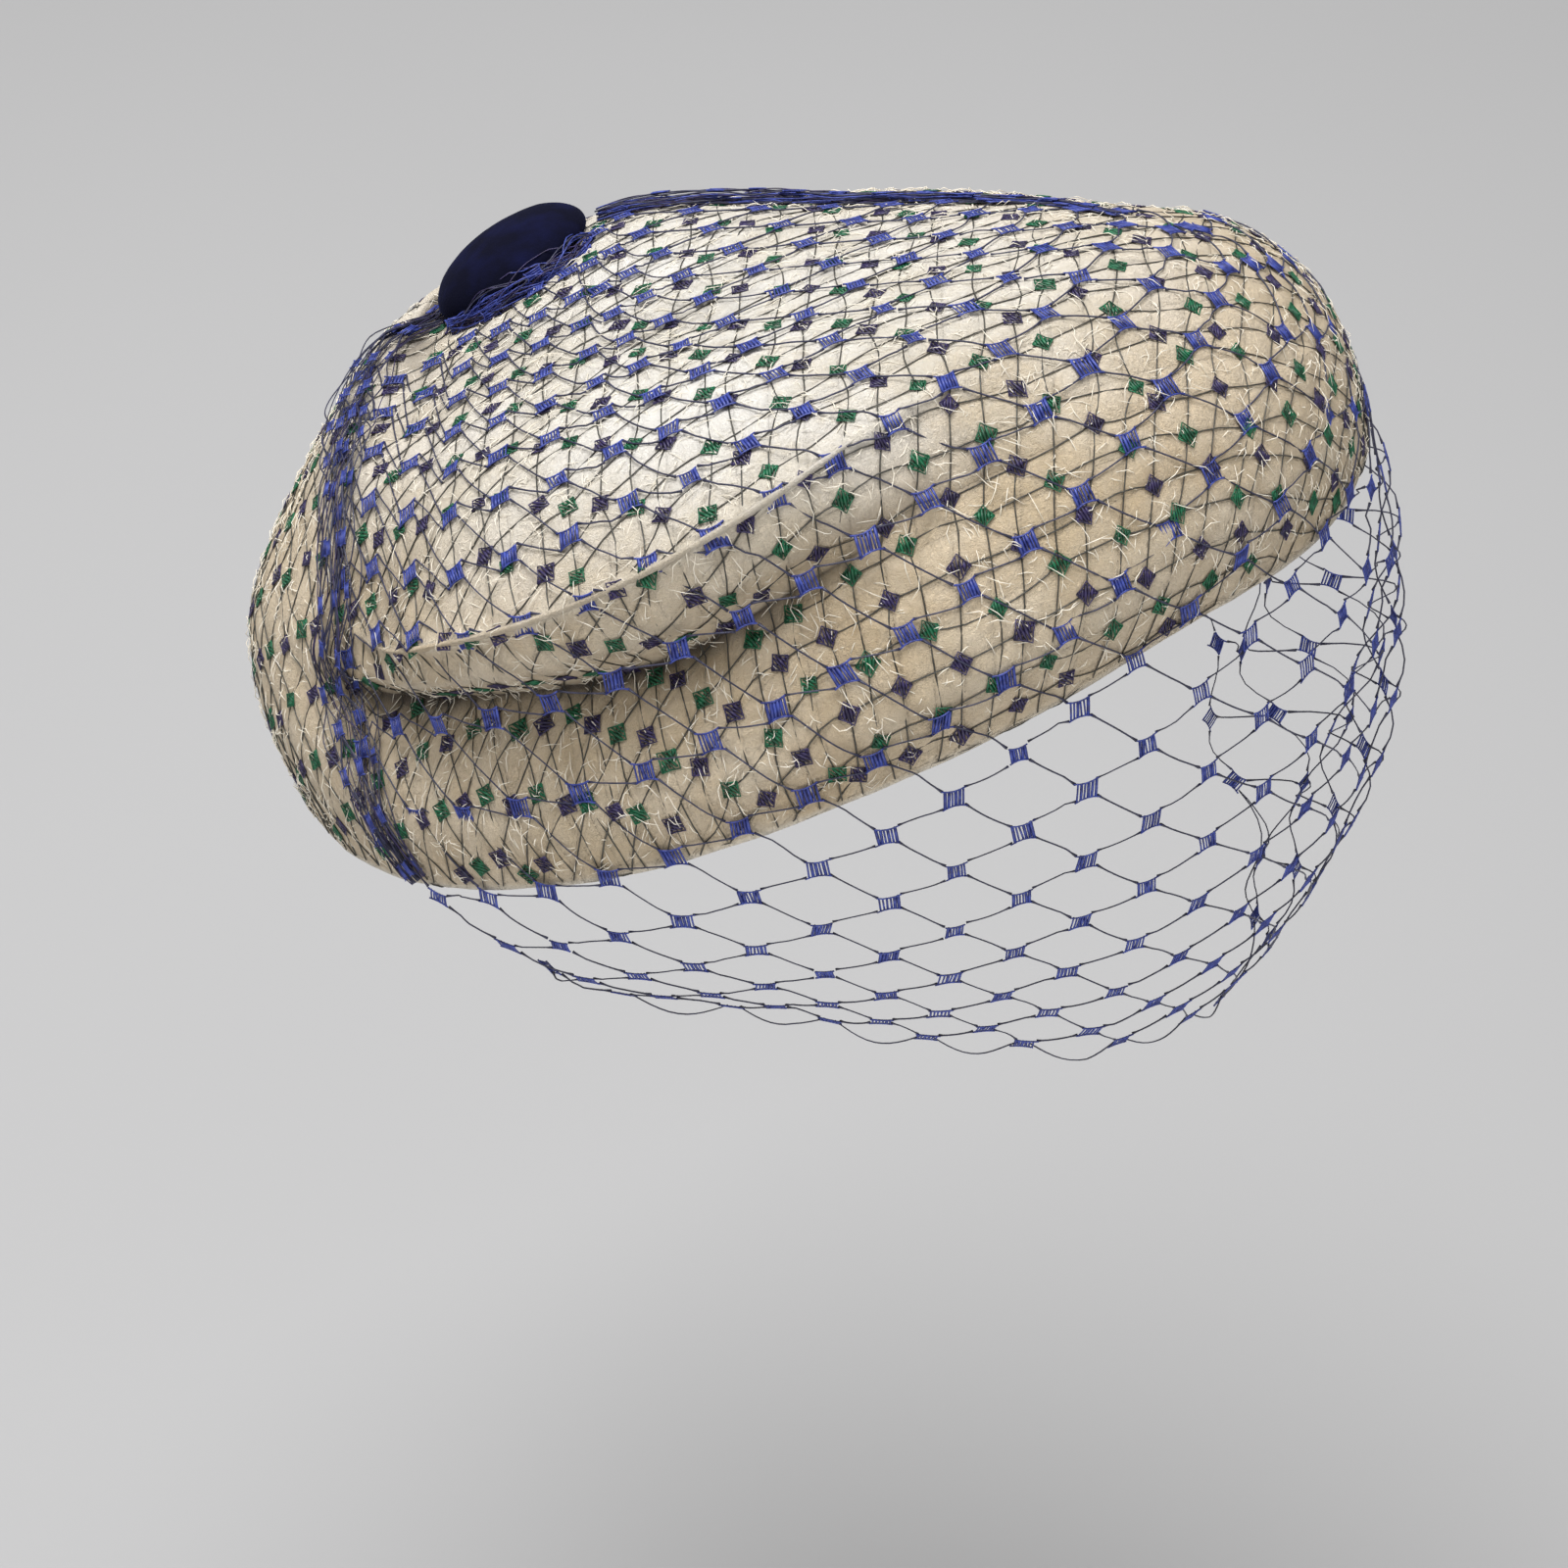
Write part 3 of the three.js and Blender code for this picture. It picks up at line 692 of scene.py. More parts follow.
class StrandMesh:
    """One mesh of many fine strands, each a four-sided tube along its own path."""

    def __init__(self) -> None:
        """Start with no strands."""
        self.points: list[np.ndarray] = []
        self.faces: list[np.ndarray] = []
        self.finishes: list[np.ndarray] = []
        self.count = 0

    def add(
        self,
        paths: np.ndarray,
        normals: np.ndarray,
        width: np.ndarray | float,
        depth: np.ndarray | float,
        finish: int,
    ) -> None:
        """Add strands of one finish.

        Args:
            paths: Places along each strand, by strand, step and axis.
            normals: The way out of the surface at each place.
            width: Size across the surface, for all or by strand and step.
            depth: Size out of the surface, for all or by strand and step.
            finish: Number of the strands' material in the piece's list.
        """
        if not len(paths):
            return
        count, steps = paths.shape[:2]
        tangent = unit(np.gradient(paths, axis=1))
        side = unit(np.cross(tangent, normals))
        up = np.cross(side, tangent)
        half_width = np.broadcast_to(np.asarray(width) / 2, (count, steps))[..., None]
        half_depth = np.broadcast_to(np.asarray(depth) / 2, (count, steps))[..., None]
        ring = np.stack([side * half_width, up * half_depth, -side * half_width, -up * half_depth], axis=2)
        self.points.append((paths[:, :, None, :] + ring).reshape(-1, 3))
        index = np.arange(count * steps * 4).reshape(count, steps, 4) + self.count
        low, high = index[:, :-1], index[:, 1:]
        walls = np.stack([low, high, np.roll(high, -1, axis=2), np.roll(low, -1, axis=2)], axis=-1)
        faces = np.vstack([walls.reshape(-1, 4), index[:, 0], index[:, -1, ::-1]])
        self.faces.append(faces)
        self.finishes.append(np.full(len(faces), finish))
        self.count += count * steps * 4

    def build(
        self,
        name: str,
        turn: np.ndarray,
        finishes: list[bpy.types.Material],
        slot: Slot,
        node: str | None = None,
    ) -> bpy.types.Object:
        """Make the joined piece and hand it over.

        Args:
            name: The piece's name.
            turn: The turn from the strands' frame to the level frame.
            finishes: The materials, in the order of the strands' finish numbers.
            slot: The record's material slot.
            node: The CAD node that the piece replaces.

        Returns:
            The new object.
        """
        points = np.vstack(self.points) @ turn.T
        faces = np.vstack(self.faces)
        mesh = bpy.data.meshes.new(name)
        mesh.from_pydata(points.tolist(), [], faces.tolist())
        for finish in finishes:
            mesh.materials.append(finish)
        mesh.polygons.foreach_set("material_index", np.concatenate(self.finishes))
        mesh.polygons.foreach_set("use_smooth", np.ones(len(faces), dtype=bool))
        mesh.update()
        obj = bpy.data.objects.new(name, mesh)
        bpy.context.scene.collection.objects.link(obj)
        return hand_over(obj, slot, node)


def write_share(obj: bpy.types.Object, name: str, values: np.ndarray) -> None:
    """Write one value from 0 to 1 for each vertex of an object as a named attribute."""
    layer = obj.data.attributes.new(name, "FLOAT", "POINT")
    layer.data.foreach_set("value", np.clip(values, 0, 1).astype(np.float32))


@dataclass(frozen=True)
class CuffShade:
    """Painted shade on the felt, by height in the hat's frame: none at the crown, darker and warmer towards
    the cuff, where less and warmer light falls.
    """

    unshaded_above: float = 90.0 * MM
    fully_shaded_below: float = 60.0 * MM

    def write(self, obj: bpy.types.Object) -> None:
        """Write on an object's vertices how much of the painted cuff shade each gets."""
        height = points_of(obj) @ HatPose().to_level()[:, 2]
        write_share(obj, "cuff_shade", (self.unshaded_above - height) / (self.unshaded_above - self.fully_shaded_below))


@dataclass
class FeltHood:
    """The felt hood: the CAD form smoothed and given the uneven, fibrous face of blocked felt."""

    sharp_angle: float = 34.0
    edge_hold: float = 0.8
    smooth_levels: int = 2
    lump_size: float = 30.0 * MM
    lump_height: float = 1.3 * MM
    dimple_size: float = 9.0 * MM
    dimple_height: float = 0.45 * MM
    # How the painted shade in folds, tucks and notches is found.
    hollow_rounds: int = 90
    hollow_depth: float = 2.2 * MM
    notch_rounds: int = 5
    notch_depth: float = 0.5 * MM
    # How strongly the highlight is painted on ridges.
    ridge_highlight_share: float = 0.6
    ridge_highlight_from: float = 0.15

    def build(self) -> bpy.types.Object:
        """Return the finished felt hood."""
        obj = copy_of_node("felt_hood", "felt_body")
        self._hold_edges(obj)
        apply_modifier(obj, "SUBSURF", levels=self.smooth_levels, render_levels=self.smooth_levels)
        crumple(obj, "felt_lumps", self.lump_size, self.lump_height)
        crumple(obj, "felt_dimples", self.dimple_size, self.dimple_height)
        # Paint shade into folds, tucks and notches and a highlight on ridges.
        self._mark_hollows(obj)
        # Paint the shade that darkens and warms the felt towards the cuff.
        CuffShade().write(obj)
        obj.data.materials.append(WoolFelt().build())
        select_only(obj)
        bpy.ops.object.shade_smooth()
        return hand_over(obj, Slot.FELT, "felt_hood")

    def _hold_edges(self, obj: bpy.types.Object) -> None:
        """Keep the cut rim and the pinched tuck crisp when the hood is smoothed.

        Args:
            obj: The felt before it is smoothed.
        """
        mesh = bmesh.new()
        mesh.from_mesh(obj.data)
        crease = mesh.edges.layers.float.get("crease_edge") or mesh.edges.layers.float.new("crease_edge")
        for edge in mesh.edges:
            if len(edge.link_faces) == 2 and edge.calc_face_angle() > math.radians(self.sharp_angle):
                edge[crease] = self.edge_hold
        mesh.to_mesh(obj.data)
        mesh.free()

    def _mark_hollows(self, obj: bpy.types.Object) -> None:
        """Write where shade is painted, by how deep each place lies in a fold, tuck or notch, and where a
        highlight is painted, by how far each place stands out.

        Args:
            obj: The smoothed felt.
        """
        place = points_of(obj)
        normal = normals_of(obj)
        near = np.sum((self._eased(obj, place, self.notch_rounds) - place) * normal, axis=1)
        wide = np.sum((self._eased(obj, place, self.hollow_rounds) - place) * normal, axis=1)
        # Painted shade in folds, tucks and notches.
        write_share(obj, "hollow_shade", np.maximum(wide / self.hollow_depth, near / self.notch_depth))
        # Painted highlight where the felt stands out.
        write_share(obj, "wear_and_ridge_highlight", -self.ridge_highlight_share * near / self.notch_depth - self.ridge_highlight_from)

    @staticmethod
    def _eased(obj: bpy.types.Object, place: np.ndarray, rounds: int) -> np.ndarray:
        """Return the vertices' places after each has moved to the middle of its neighbours, some rounds.

        Args:
            obj: The mesh, for its edges.
            place: The places, one row for each vertex.
            rounds: How many times the vertices move.

        Returns:
            The moved places.
        """
        edges = np.empty(2 * len(obj.data.edges), dtype=int)
        obj.data.edges.foreach_get("vertices", edges)
        one, other = edges.reshape(-1, 2).T
        count = len(place)
        degree = np.bincount(edges, minlength=count)[:, None]
        for _ in range(rounds):
            sums = [
                np.bincount(one, place[other, axis], count) + np.bincount(other, place[one, axis], count)
                for axis in range(3)
            ]
            place = np.stack(sums, axis=1) / degree
        return place


@dataclass
class TuckLip:
    """The pinched lip of felt that runs along the edge of the crown's fold."""

    surface: FeltSurface
    route: tuple[tuple[float, float, float, float], ...]
    felt: bpy.types.Material
    thickness: float = 1.7 * MM
    rise: float = 0.1 * MM
    wave_height: float = 0.25 * MM
    wave_share: float = 0.12
    wave_steps: int = 9
    steps: int = 90

    def build(self) -> bpy.types.Object:
        """Return the lip as one piece."""
        random = np.random.default_rng(SEED + 6)
        rows = np.array(self.route)
        line = smooth_path(np.column_stack([rows[:, :3] * MM, rows[:, 3]]), self.steps)
        out = unit(line[:, :3] - self.surface.centre)
        window = np.ones(self.wave_steps) / self.wave_steps
        wave = np.convolve(random.normal(0, 1, self.steps + self.wave_steps - 1), window, "valid")[:, None]
        path = line[:, :3] + out * (self.rise + self.wave_height * wave)
        size = self.thickness * line[:, 3] * (1 + self.wave_share * wave[:, 0])
        mesh = StrandMesh()
        mesh.add(path[None], out[None], size[None], size[None], 0)
        obj = mesh.build("tuck_lip", self.surface.turn, [self.felt], Slot.FELT)
        # The lip gets the same painted shade towards the cuff as the felt.
        CuffShade().write(obj)
        return obj


@dataclass
class WoolEnds:
    """Loose wool ends that lie on the felt and, most of all, over the knots of the inner net."""

    surface: FeltSurface
    knots: np.ndarray
    count: int = 15000
    share_on_knots: float = 0.5
    knot_spread: float = 2.2 * MM
    knot_top: float = 0.75 * MM
    shortest: float = 2.0 * MM
    longest: float = 8.0 * MM
    thickness: float = 0.23 * MM
    lift: float = 0.9 * MM
    foot: float = 0.1 * MM
    bend: float = 0.9
    rim_gap: float = 1.0 * MM
    steps: int = 3

    def build(self) -> bpy.types.Object:
        """Return all the loose ends as one piece."""
        random = np.random.default_rng(SEED)
        reach = self.surface.rim.max()
        far = reach * np.sqrt(random.uniform(0, 1, self.count))
        turn = random.uniform(0, 2 * math.pi, self.count)
        start = np.stack([-far * np.sin(turn), -far * np.cos(turn)], axis=1)
        on_knots = int(self.count * self.share_on_knots)
        chosen = self.knots[random.integers(0, len(self.knots), on_knots)]
        start[:on_knots] = chosen + random.normal(0, self.knot_spread, (on_knots, 2))
        way = random.uniform(0, 2 * math.pi, self.count)
        bend = random.normal(0, self.bend, self.count)
        length = random.uniform(self.shortest, self.longest, self.count)
        share = np.linspace(0, 1, self.steps)
        heading = way[:, None] + bend[:, None] * share
        stride = length / (self.steps - 1)
        move = np.stack([np.cos(heading), np.sin(heading)], axis=-1) * stride[:, None, None]
        flat = start[:, None, :] + np.cumsum(move, axis=1)
        place, normal, inside = self.surface.wrap(flat)
        kept = inside.min(axis=1) > self.rim_gap
        arch = np.sin(math.pi * share) * self.lift
        foot = np.where(np.arange(self.count) < on_knots, self.knot_top, self.foot)
        tall = random.uniform(0.2, 1, self.count)[:, None] * arch + foot[:, None]
        paths = place + normal * tall[..., None]
        strands = StrandMesh()
        thin = self.thickness * np.interp(share, [0, 0.5, 1], [0.6, 1, 0.3])
        strands.add(paths[kept], normal[kept], thin[None, :], thin[None, :], 0)
        return strands.build("felt_loose_ends", self.surface.turn, [WoolFibre().build()], Slot.FELT)


@dataclass
class KnotShape:
    """The size and make of a net's knots: upright loops of yarn side by side."""

    width: float
    height: float
    strands: int
    waist: float
    pointed: bool = False
    thickness: float = 0.5 * MM
    fill: float = 0.97
    gaps: float = 0.45
    size_spread: float = 0.07
    skew_spread: float = 0.05
    shift_spread: float = 0.03
    lean_spread: float = 0.012
    height_spread: float = 0.12 * MM
    thin: float = 0.62
    thick_span: tuple[float, float] = (0.92, 1.1)
    point_power: float = 1.15
    point_taper: float = 0.4
    bulge_fall: float = 0.35
    end_reach: float = 0.56
    end_lift: float = 0.6
    end_power: float = 1.25
    end_height: float = 1.1
    steps: int = 3
    end_steps: int = 5

    def add_to(
        self,
        mesh: StrandMesh,
        centre: np.ndarray,
        across: np.ndarray,
        up: np.ndarray,
        out: np.ndarray,
        finish: int,
        random: np.random.Generator,
    ) -> None:
        """Add a knot at each place.

        Args:
            mesh: The strands to add to.
            centre: The knots' middles.
            across: Unit vectors along the knots' width.
            up: Unit vectors along the knots' height.
            out: Unit vectors out of the net.
            finish: Number of the yarn's material.
            random: Where the small differences come from.
        """
        share = np.linspace(-1, 1, self.steps)
        count = len(centre)
        size = random.normal(1, self.size_spread, count)[:, None]
        skew = random.normal(0, self.skew_spread, (count, 1)) * share * self.width
        gap = self.width / self.strands
        for k in range(self.strands):
            side = (2 * k + 1) / self.strands - 1
            waisted = self.waist + (1 - self.waist) * side**2
            tall = (1 - abs(side)) ** self.point_power if self.pointed else waisted
            shift = side * self.width / 2 + random.normal(0, self.shift_spread, count)[:, None] * gap
            reach = share[None, :] * self.height / 2 * tall * size
            lean = skew + random.normal(0, self.lean_spread, (count, 1)) * share * self.width
            stand = random.uniform(0, self.height_spread, (count, 1))
            bulge = (1 - self.bulge_fall * share**2) * self.thickness * 0.5 + stand
            path = (
                centre[:, None]
                + across[:, None] * (shift * size + lean)[..., None]
                + up[:, None] * reach[..., None]
                + out[:, None] * bulge[..., None]
            )
            parted = np.where(random.uniform(0, 1, (count, 1)) < self.gaps, self.thin, 1.0)
            ends = 1 - (self.point_taper if self.pointed else 0.0) * np.abs(share)
            thick = gap * self.fill * parted * random.uniform(*self.thick_span, (count, 1))
            mesh.add(path, np.repeat(out[:, None], self.steps, axis=1), thick * ends, self.thickness, finish)
        self._close_ends(mesh, centre, across * size, up * size, out, finish)

    def _close_ends(
        self,
        mesh: StrandMesh,
        centre: np.ndarray,
        across: np.ndarray,
        up: np.ndarray,
        out: np.ndarray,
        finish: int,
    ) -> None:
        """Add the thread that runs around each end of a knot, from its left corner to its right one.

        Args:
            mesh: The strands so far.
            centre: The knots' middles.
            across: The ways across the knots.
            up: The ways up the knots.
            out: The ways out of the net.
            finish: The material's number.
        """
        share = np.linspace(-1, 1, self.end_steps)
        dip = self.waist + (1 - self.waist) * share**2
        if self.pointed:
            dip = (1 - np.abs(share)) ** self.end_power * self.end_height
        for end in (-1, 1):
            path = (
                centre[:, None]
                + across[:, None] * (share * self.width * self.end_reach)[None, :, None]
                + up[:, None] * (end * dip * self.height / 2)[None, :, None]
                + out[:, None] * self.thickness * self.end_lift
            )
            normals = np.repeat(out[:, None], self.end_steps, axis=1)
            mesh.add(path, normals, self.thickness, self.thickness, finish)


@dataclass
class InnerNet:
    """The finer net that is steamed onto the felt: rows of green and of navy points with threads between."""

    surface: FeltSurface
    along_row: float = 18.6 * MM
    along_column: float = 20.0 * MM
    row_heading: float = -9.5
    column_heading: float = 48.0
    drift: float = 1.1 * MM
    lift: float = 0.35 * MM
    thread: float = 0.36 * MM
    thread_steps: int = 5
    thread_samples: int = 25
    least_samples: int = 3
    row_look: float = 2.0 * MM
    thread_bow: float = 0.045
    knot_spin: float = 0.2
    knot_gap: float = 3.0 * MM
    rim_gap: float = 0.5 * MM
    reach: int = 16
    swell: float = 0.6 * MM
    swell_reach: float = 1.5 * MM
    rim_hold: float = 5.0 * MM
    knots: list[np.ndarray] = field(default_factory=list)
    knot: KnotShape = field(
        default_factory=lambda: KnotShape(
            width=4.6 * MM, height=5.0 * MM, strands=6, waist=1.0, pointed=True, thickness=0.4 * MM,
            fill=1.12, gaps=0.3,
        )
    )

    def build(self) -> list[bpy.types.Object]:
        """Return the green and the navy half of the inner net, each as one piece."""
        random = np.random.default_rng(SEED + 1)
        row, column = self._steps()
        pieces = []
        reach = range(-self.reach, self.reach + 1)
        for finish, offset in ((YarnDye.GREEN, 0.0), (YarnDye.NAVY, 0.5)):
            mesh = StrandMesh()
            spots = {
                (i, j): (i + offset) * row + (j + offset) * column + random.normal(0, self.drift, 2)
                for i in reach
                for j in reach
            }
            flat = np.array(list(spots.values()))
            self.knots.append(flat)
            self._add_knots(mesh, flat, finish, random)
            self._add_threads(mesh, spots, random)
            name = f"inner_net_{finish.name.lower()}"
            pieces.append(mesh.build(name, self.surface.turn, yarn_finishes(), Slot.VEILING))
        return pieces

    def press_into(self, felt: bpy.types.Object) -> None:
        """Swell the felt's outer face in the net's cells and write the net's column and row numbers on it.

        Args:
            felt: The finished felt, which gets the map "net_cells".
        """
        place = points_of(felt)
        local = place @ self.surface.turn
        flat = self.surface.flat_of(local)
        numbers = flat @ np.linalg.inv(np.array(self._steps()))
        outer, _, inside = self.surface.wrap(flat)
        share = np.clip(2 - np.linalg.norm(outer - local, axis=1) / self.swell_reach, 0, 1)
        share *= np.clip(inside / self.rim_hold, 0, 1)
        share *= np.abs(np.prod(np.sin(2 * math.pi * numbers), axis=1))
        swollen = place + normals_of(felt) * (share * self.swell)[:, None]
        felt.data.vertices.foreach_set("co", swollen.ravel())
        felt.data.update()
        corners = np.empty(len(felt.data.loops), dtype=int)
        felt.data.loops.foreach_get("vertex_index", corners)
        layer = felt.data.uv_layers.new(name="net_cells")
        layer.data.foreach_set("uv", numbers[corners].astype(np.float32).ravel())

    @staticmethod
    def _heading(degrees: float) -> np.ndarray:
        """Return a flat unit vector by its angle from the wearer's left."""
        return np.array([math.cos(math.radians(degrees)), math.sin(math.radians(degrees))])

    def _steps(self) -> tuple[np.ndarray, np.ndarray]:
        """Return the flat steps from one knot to the next along a row and along a column."""
        row = self._heading(self.row_heading) * self.along_row
        return row, self._heading(self.column_heading) * self.along_column

    def _add_knots(
        self, mesh: StrandMesh, flat: np.ndarray, finish: YarnDye, random: np.random.Generator
    ) -> None:
        """Add the knots of one colour at flat places.

        Args:
            mesh: The strands so far.
            flat: Flat places, one row for each knot.
            finish: The knots' dye.
            random: The source of the small differences.
        """
        place, normal, inside = self.surface.wrap(flat)
        ahead = self.surface.wrap(flat + self._heading(self.row_heading) * self.row_look)[0]
        spin = random.normal(0, self.knot_spin, len(flat))[:, None]
        across = unit(ahead - place)
        up = unit(np.cross(normal, across))
        across, up = across * np.cos(spin) + up * np.sin(spin), up * np.cos(spin) - across * np.sin(spin)
        kept = inside > self.knot_gap
        lifted = place + normal * self.lift
        self.knot.add_to(mesh, lifted[kept], across[kept], up[kept], normal[kept], finish.value, random)

    def _add_threads(
        self, mesh: StrandMesh, spots: dict[tuple[int, int], np.ndarray], random: np.random.Generator
    ) -> None:
        """Add the threads from each knot to the next along its row and its column, ended at the rim.

        Args:
            mesh: The strands so far.
            spots: The knots' flat places by row and column number.
            random: The source of the small differences.
        """
        pairs = np.array(
            [
                [spots[key], spots[other]]
                for key in spots
                for other in ((key[0] + 1, key[1]), (key[0], key[1] + 1))
                if other in spots
            ]
        )
        share = np.linspace(0, 1, self.thread_samples)
        line = pairs[:, None, 0] + (pairs[:, None, 1] - pairs[:, None, 0]) * share[None, :, None]
        inside = self.surface.wrap(line)[2] > self.rim_gap
        first = np.argmax(inside, axis=1)
        last = len(share) - 1 - np.argmax(inside[:, ::-1], axis=1)
        kept = last - first >= self.least_samples
        begin = share[first[kept]][:, None]
        end = share[last[kept]][:, None]
        steps = np.linspace(0, 1, self.thread_steps)[None, :]
        along = begin + (end - begin) * steps
        start = pairs[kept, 0][:, None]
        span = pairs[kept, 1][:, None] - start
        sideways = np.stack([-span[..., 1], span[..., 0]], axis=-1)
        bow = random.normal(0, self.thread_bow, (len(start), 1)) * np.sin(math.pi * along)
        flat = start + span * along[..., None] + sideways * bow[..., None]
        place, normal, _ = self.surface.wrap(flat)
        mesh.add(place + normal * self.lift, normal, self.thread, self.thread, YarnDye.OLIVE.value)


@dataclass(frozen=True)
class VeilEdge:
    """One direction of the veil's lower edge: share of the rim's radius, share of the drop, and its belly."""

    at: float
    out: float
    down: float
    belly: float


@dataclass(frozen=True)
class VeilTop:
    """Where the veil's lines that cross the rim in one direction end on the crown, in millimetres in plan."""

    at: float
    x: float
    y: float


@dataclass
class OuterVeil:
    """The royal blue net: gathered on the crown, stretched over the folds and hanging before the face."""

    surface: FeltSurface
    rim_radius: float = 139.0 * MM
    drop: float = 120.0 * MM
    cells_around: int = 26
    row_rise: float = 10.75 * MM
    crown_rate: float = 1.2
    crown_from: float = 62.0 * MM
    tension: float = 0.8
    lift: float = 1.0 * MM
    thread: float = 0.42 * MM
    pulled_end: float = 0.8 * MM
    bow: float = 0.2 * MM
    thread_steps: int = 9
    fineness: int = 4
    corner_reach: tuple[float, float] = (0.53, 0.49)
    thread_faces: tuple[float, float, float] = (1.0, 1.0, 0.6)
    loop_faces: tuple[float, float, float] = (1.0, 1.0, 0.3)
    end_power: int = 8
    edge_slack: float = 3.225 * MM
    end_gap: float = 2.0 * MM
    frame_step: float = 0.25
    frame_rise: float = 2.5 * MM
    cuff_inset: float = 0.996
    cuff_reach: float = 34.0 * MM
    cuff_step: float = 1.5 * MM
    plan_step: float = 2.0 * MM
    hang_steps: int = 40
    most_rows: int = 60
    loop_sag: float = 5.0 * MM
    loop_steps: int = 12
    loop_inset: float = 0.12
    loop_from: float = 0.4
    loop_most_rows: float = 1.5
    fold_from: float = -30.0
    fold_to: float = -110.0
    fold_ends: tuple[float, float] = (25.0, 15.0)
    fold_reach: float = 0.8
    fold_period: float = 21.0
    fold_depth: float = 9.0 * MM
    row_base: tuple[tuple[float, float], ...] = (
        (-112, 0.93), (-60, 0.98), (-29, 0.983), (-20, 0.867), (-8, 0.767), (4, 0.7), (15, 0.633),
        (31, 0.558), (45, 0.5), (58, 0.47), (89, 0.4),
    )
    knot: KnotShape = field(
        default_factory=lambda: KnotShape(
            width=4.9 * MM, height=4.9 * MM, strands=6, waist=0.76, thickness=0.45 * MM
        )
    )
    edge: tuple[VeilEdge, ...] = (
        VeilEdge(-112, 1.0, 0.042, 0.0),
        VeilEdge(-104, 0.942, 0.208, 0.02),
        VeilEdge(-95, 0.885, 0.417, 0.04),
        VeilEdge(-80, 0.856, 0.708, 0.08),
        VeilEdge(-62, 0.856, 0.917, 0.12),
        VeilEdge(-45, 0.856, 0.958, 0.133),
        VeilEdge(-29, 0.813, 0.983, 0.14),
        VeilEdge(-20, 0.82, 0.867, 0.13),
        VeilEdge(-8, 0.806, 0.767, 0.12),
        VeilEdge(4, 0.784, 0.7, 0.11),
        VeilEdge(15, 0.734, 0.633, 0.1),
        VeilEdge(31, 0.705, 0.558, 0.09),
        VeilEdge(45, 0.691, 0.5, 0.08),
        VeilEdge(58, 0.705, 0.487, 0.07),
        VeilEdge(72, 0.791, 0.433, 0.05),
        VeilEdge(80, 0.9, 0.24, 0.03),
        VeilEdge(89, 0.99, 0.04, 0.0),
    )
    top: tuple[VeilTop, ...] = (
        VeilTop(-112, 128, 52),
        VeilTop(-101, 133, 26),
        VeilTop(-82, 127, -18),
        VeilTop(-62, 104, -55),
        VeilTop(-43, 72, -77),
        VeilTop(-20, 68, -30),
        VeilTop(5, 45, 21),
        VeilTop(28, 9, 57),
        VeilTop(48, -15, 42),
        VeilTop(70, -38, 60),
        VeilTop(89, -60, 72),
    )

    def build(self) -> bpy.types.Object:
        """Return the outer veil as one piece."""
        random = np.random.default_rng(SEED + 2)
        self.half = 180 / self.cells_around
        self.columns = int((self.edge[-1].at - self.edge[0].at) / self.half)
        count = self.columns * self.fineness + 1
        self.lines = [self._line(self.angle_of(k / self.fineness)) for k in range(count)]
        mesh = StrandMesh()
        spots = self._spots()
        self._add_knots(mesh, spots, random)
        self._add_threads(mesh, spots, random)
        self._add_edge_loops(mesh, spots)
        return mesh.build("outer_veil", np.eye(3), yarn_finishes(), Slot.VEILING, "veil")

    def angle_of(self, i: float) -> float:
        """Return a column's direction in degrees, from the front towards the wearer's right."""
        return self.edge[0].at + i * self.half

    def _edge_value(self, column: str, angle: float) -> float:
        """Return a value of the lower edge's table for a direction."""
        return float(np.interp(angle, [e.at for e in self.edge], [getattr(e, column) for e in self.edge]))

    def _line_over_felt(self, angle: float) -> np.ndarray:
        """Return the veil's line from the rim up over the felt to its gathered end, in the hat's frame.

        Args:
            angle: The direction in degrees.

        Returns:
            Places, one row each.
        """
        turn = math.radians(angle)
        rim = float(self.surface.rim_distance(np.array([turn % (2 * math.pi)]))[0])
        marks = np.arange(rim, rim - self.cuff_reach, -self.cuff_step)
        flat = np.stack([-marks * math.sin(turn), -marks * math.cos(turn)], axis=1)
        cuff, normal, _ = self.surface.wrap(flat)
        widest = int(np.argmax(np.hypot(cuff[:, 0], cuff[:, 1])))
        low = cuff[: widest + 1] + normal[: widest + 1] * self.lift
        start = cuff[widest, :2] * self.cuff_inset
        at = [t.at for t in self.top]
        end = np.array([np.interp(angle, at, [getattr(t, axis) for t in self.top]) for axis in "xy"]) * MM
        span = np.linalg.norm(end - start)
        share = np.linspace(0, 1, max(int(span / self.plan_step), 3))
        plan = start + (end - start) * share[:, None]
        heights = []
        for x, y in plan:
            hit = self.surface.from_above(x, y)
            heights.append(cuff[widest, 2] if hit is None else hit[2])
        taut = self._stretched(share * span, np.array(heights))
        height = taut * self.tension + np.array(heights) * (1 - self.tension)
        over = np.column_stack([plan, height + self.lift])
        return np.vstack([low, over[1:]])

    @staticmethod
    def _stretched(along: np.ndarray, height: np.ndarray) -> np.ndarray:
        """Return the heights of a thread pulled tight over a profile.

        Args:
            along: Distances along the profile.
            height: The profile's heights there.

        Returns:
            The thread's heights there.
        """
        hull: list[int] = []
        for k in range(len(along)):
            while len(hull) > 1:
                a, b = hull[-2], hull[-1]
                turn = (along[b] - along[a]) * (height[k] - height[a]) - (height[b] - height[a]) * (
                    along[k] - along[a]
                )
                if turn < 0:
                    break
                hull.pop()
            hull.append(k)
        return np.interp(along, along[hull], height[hull])

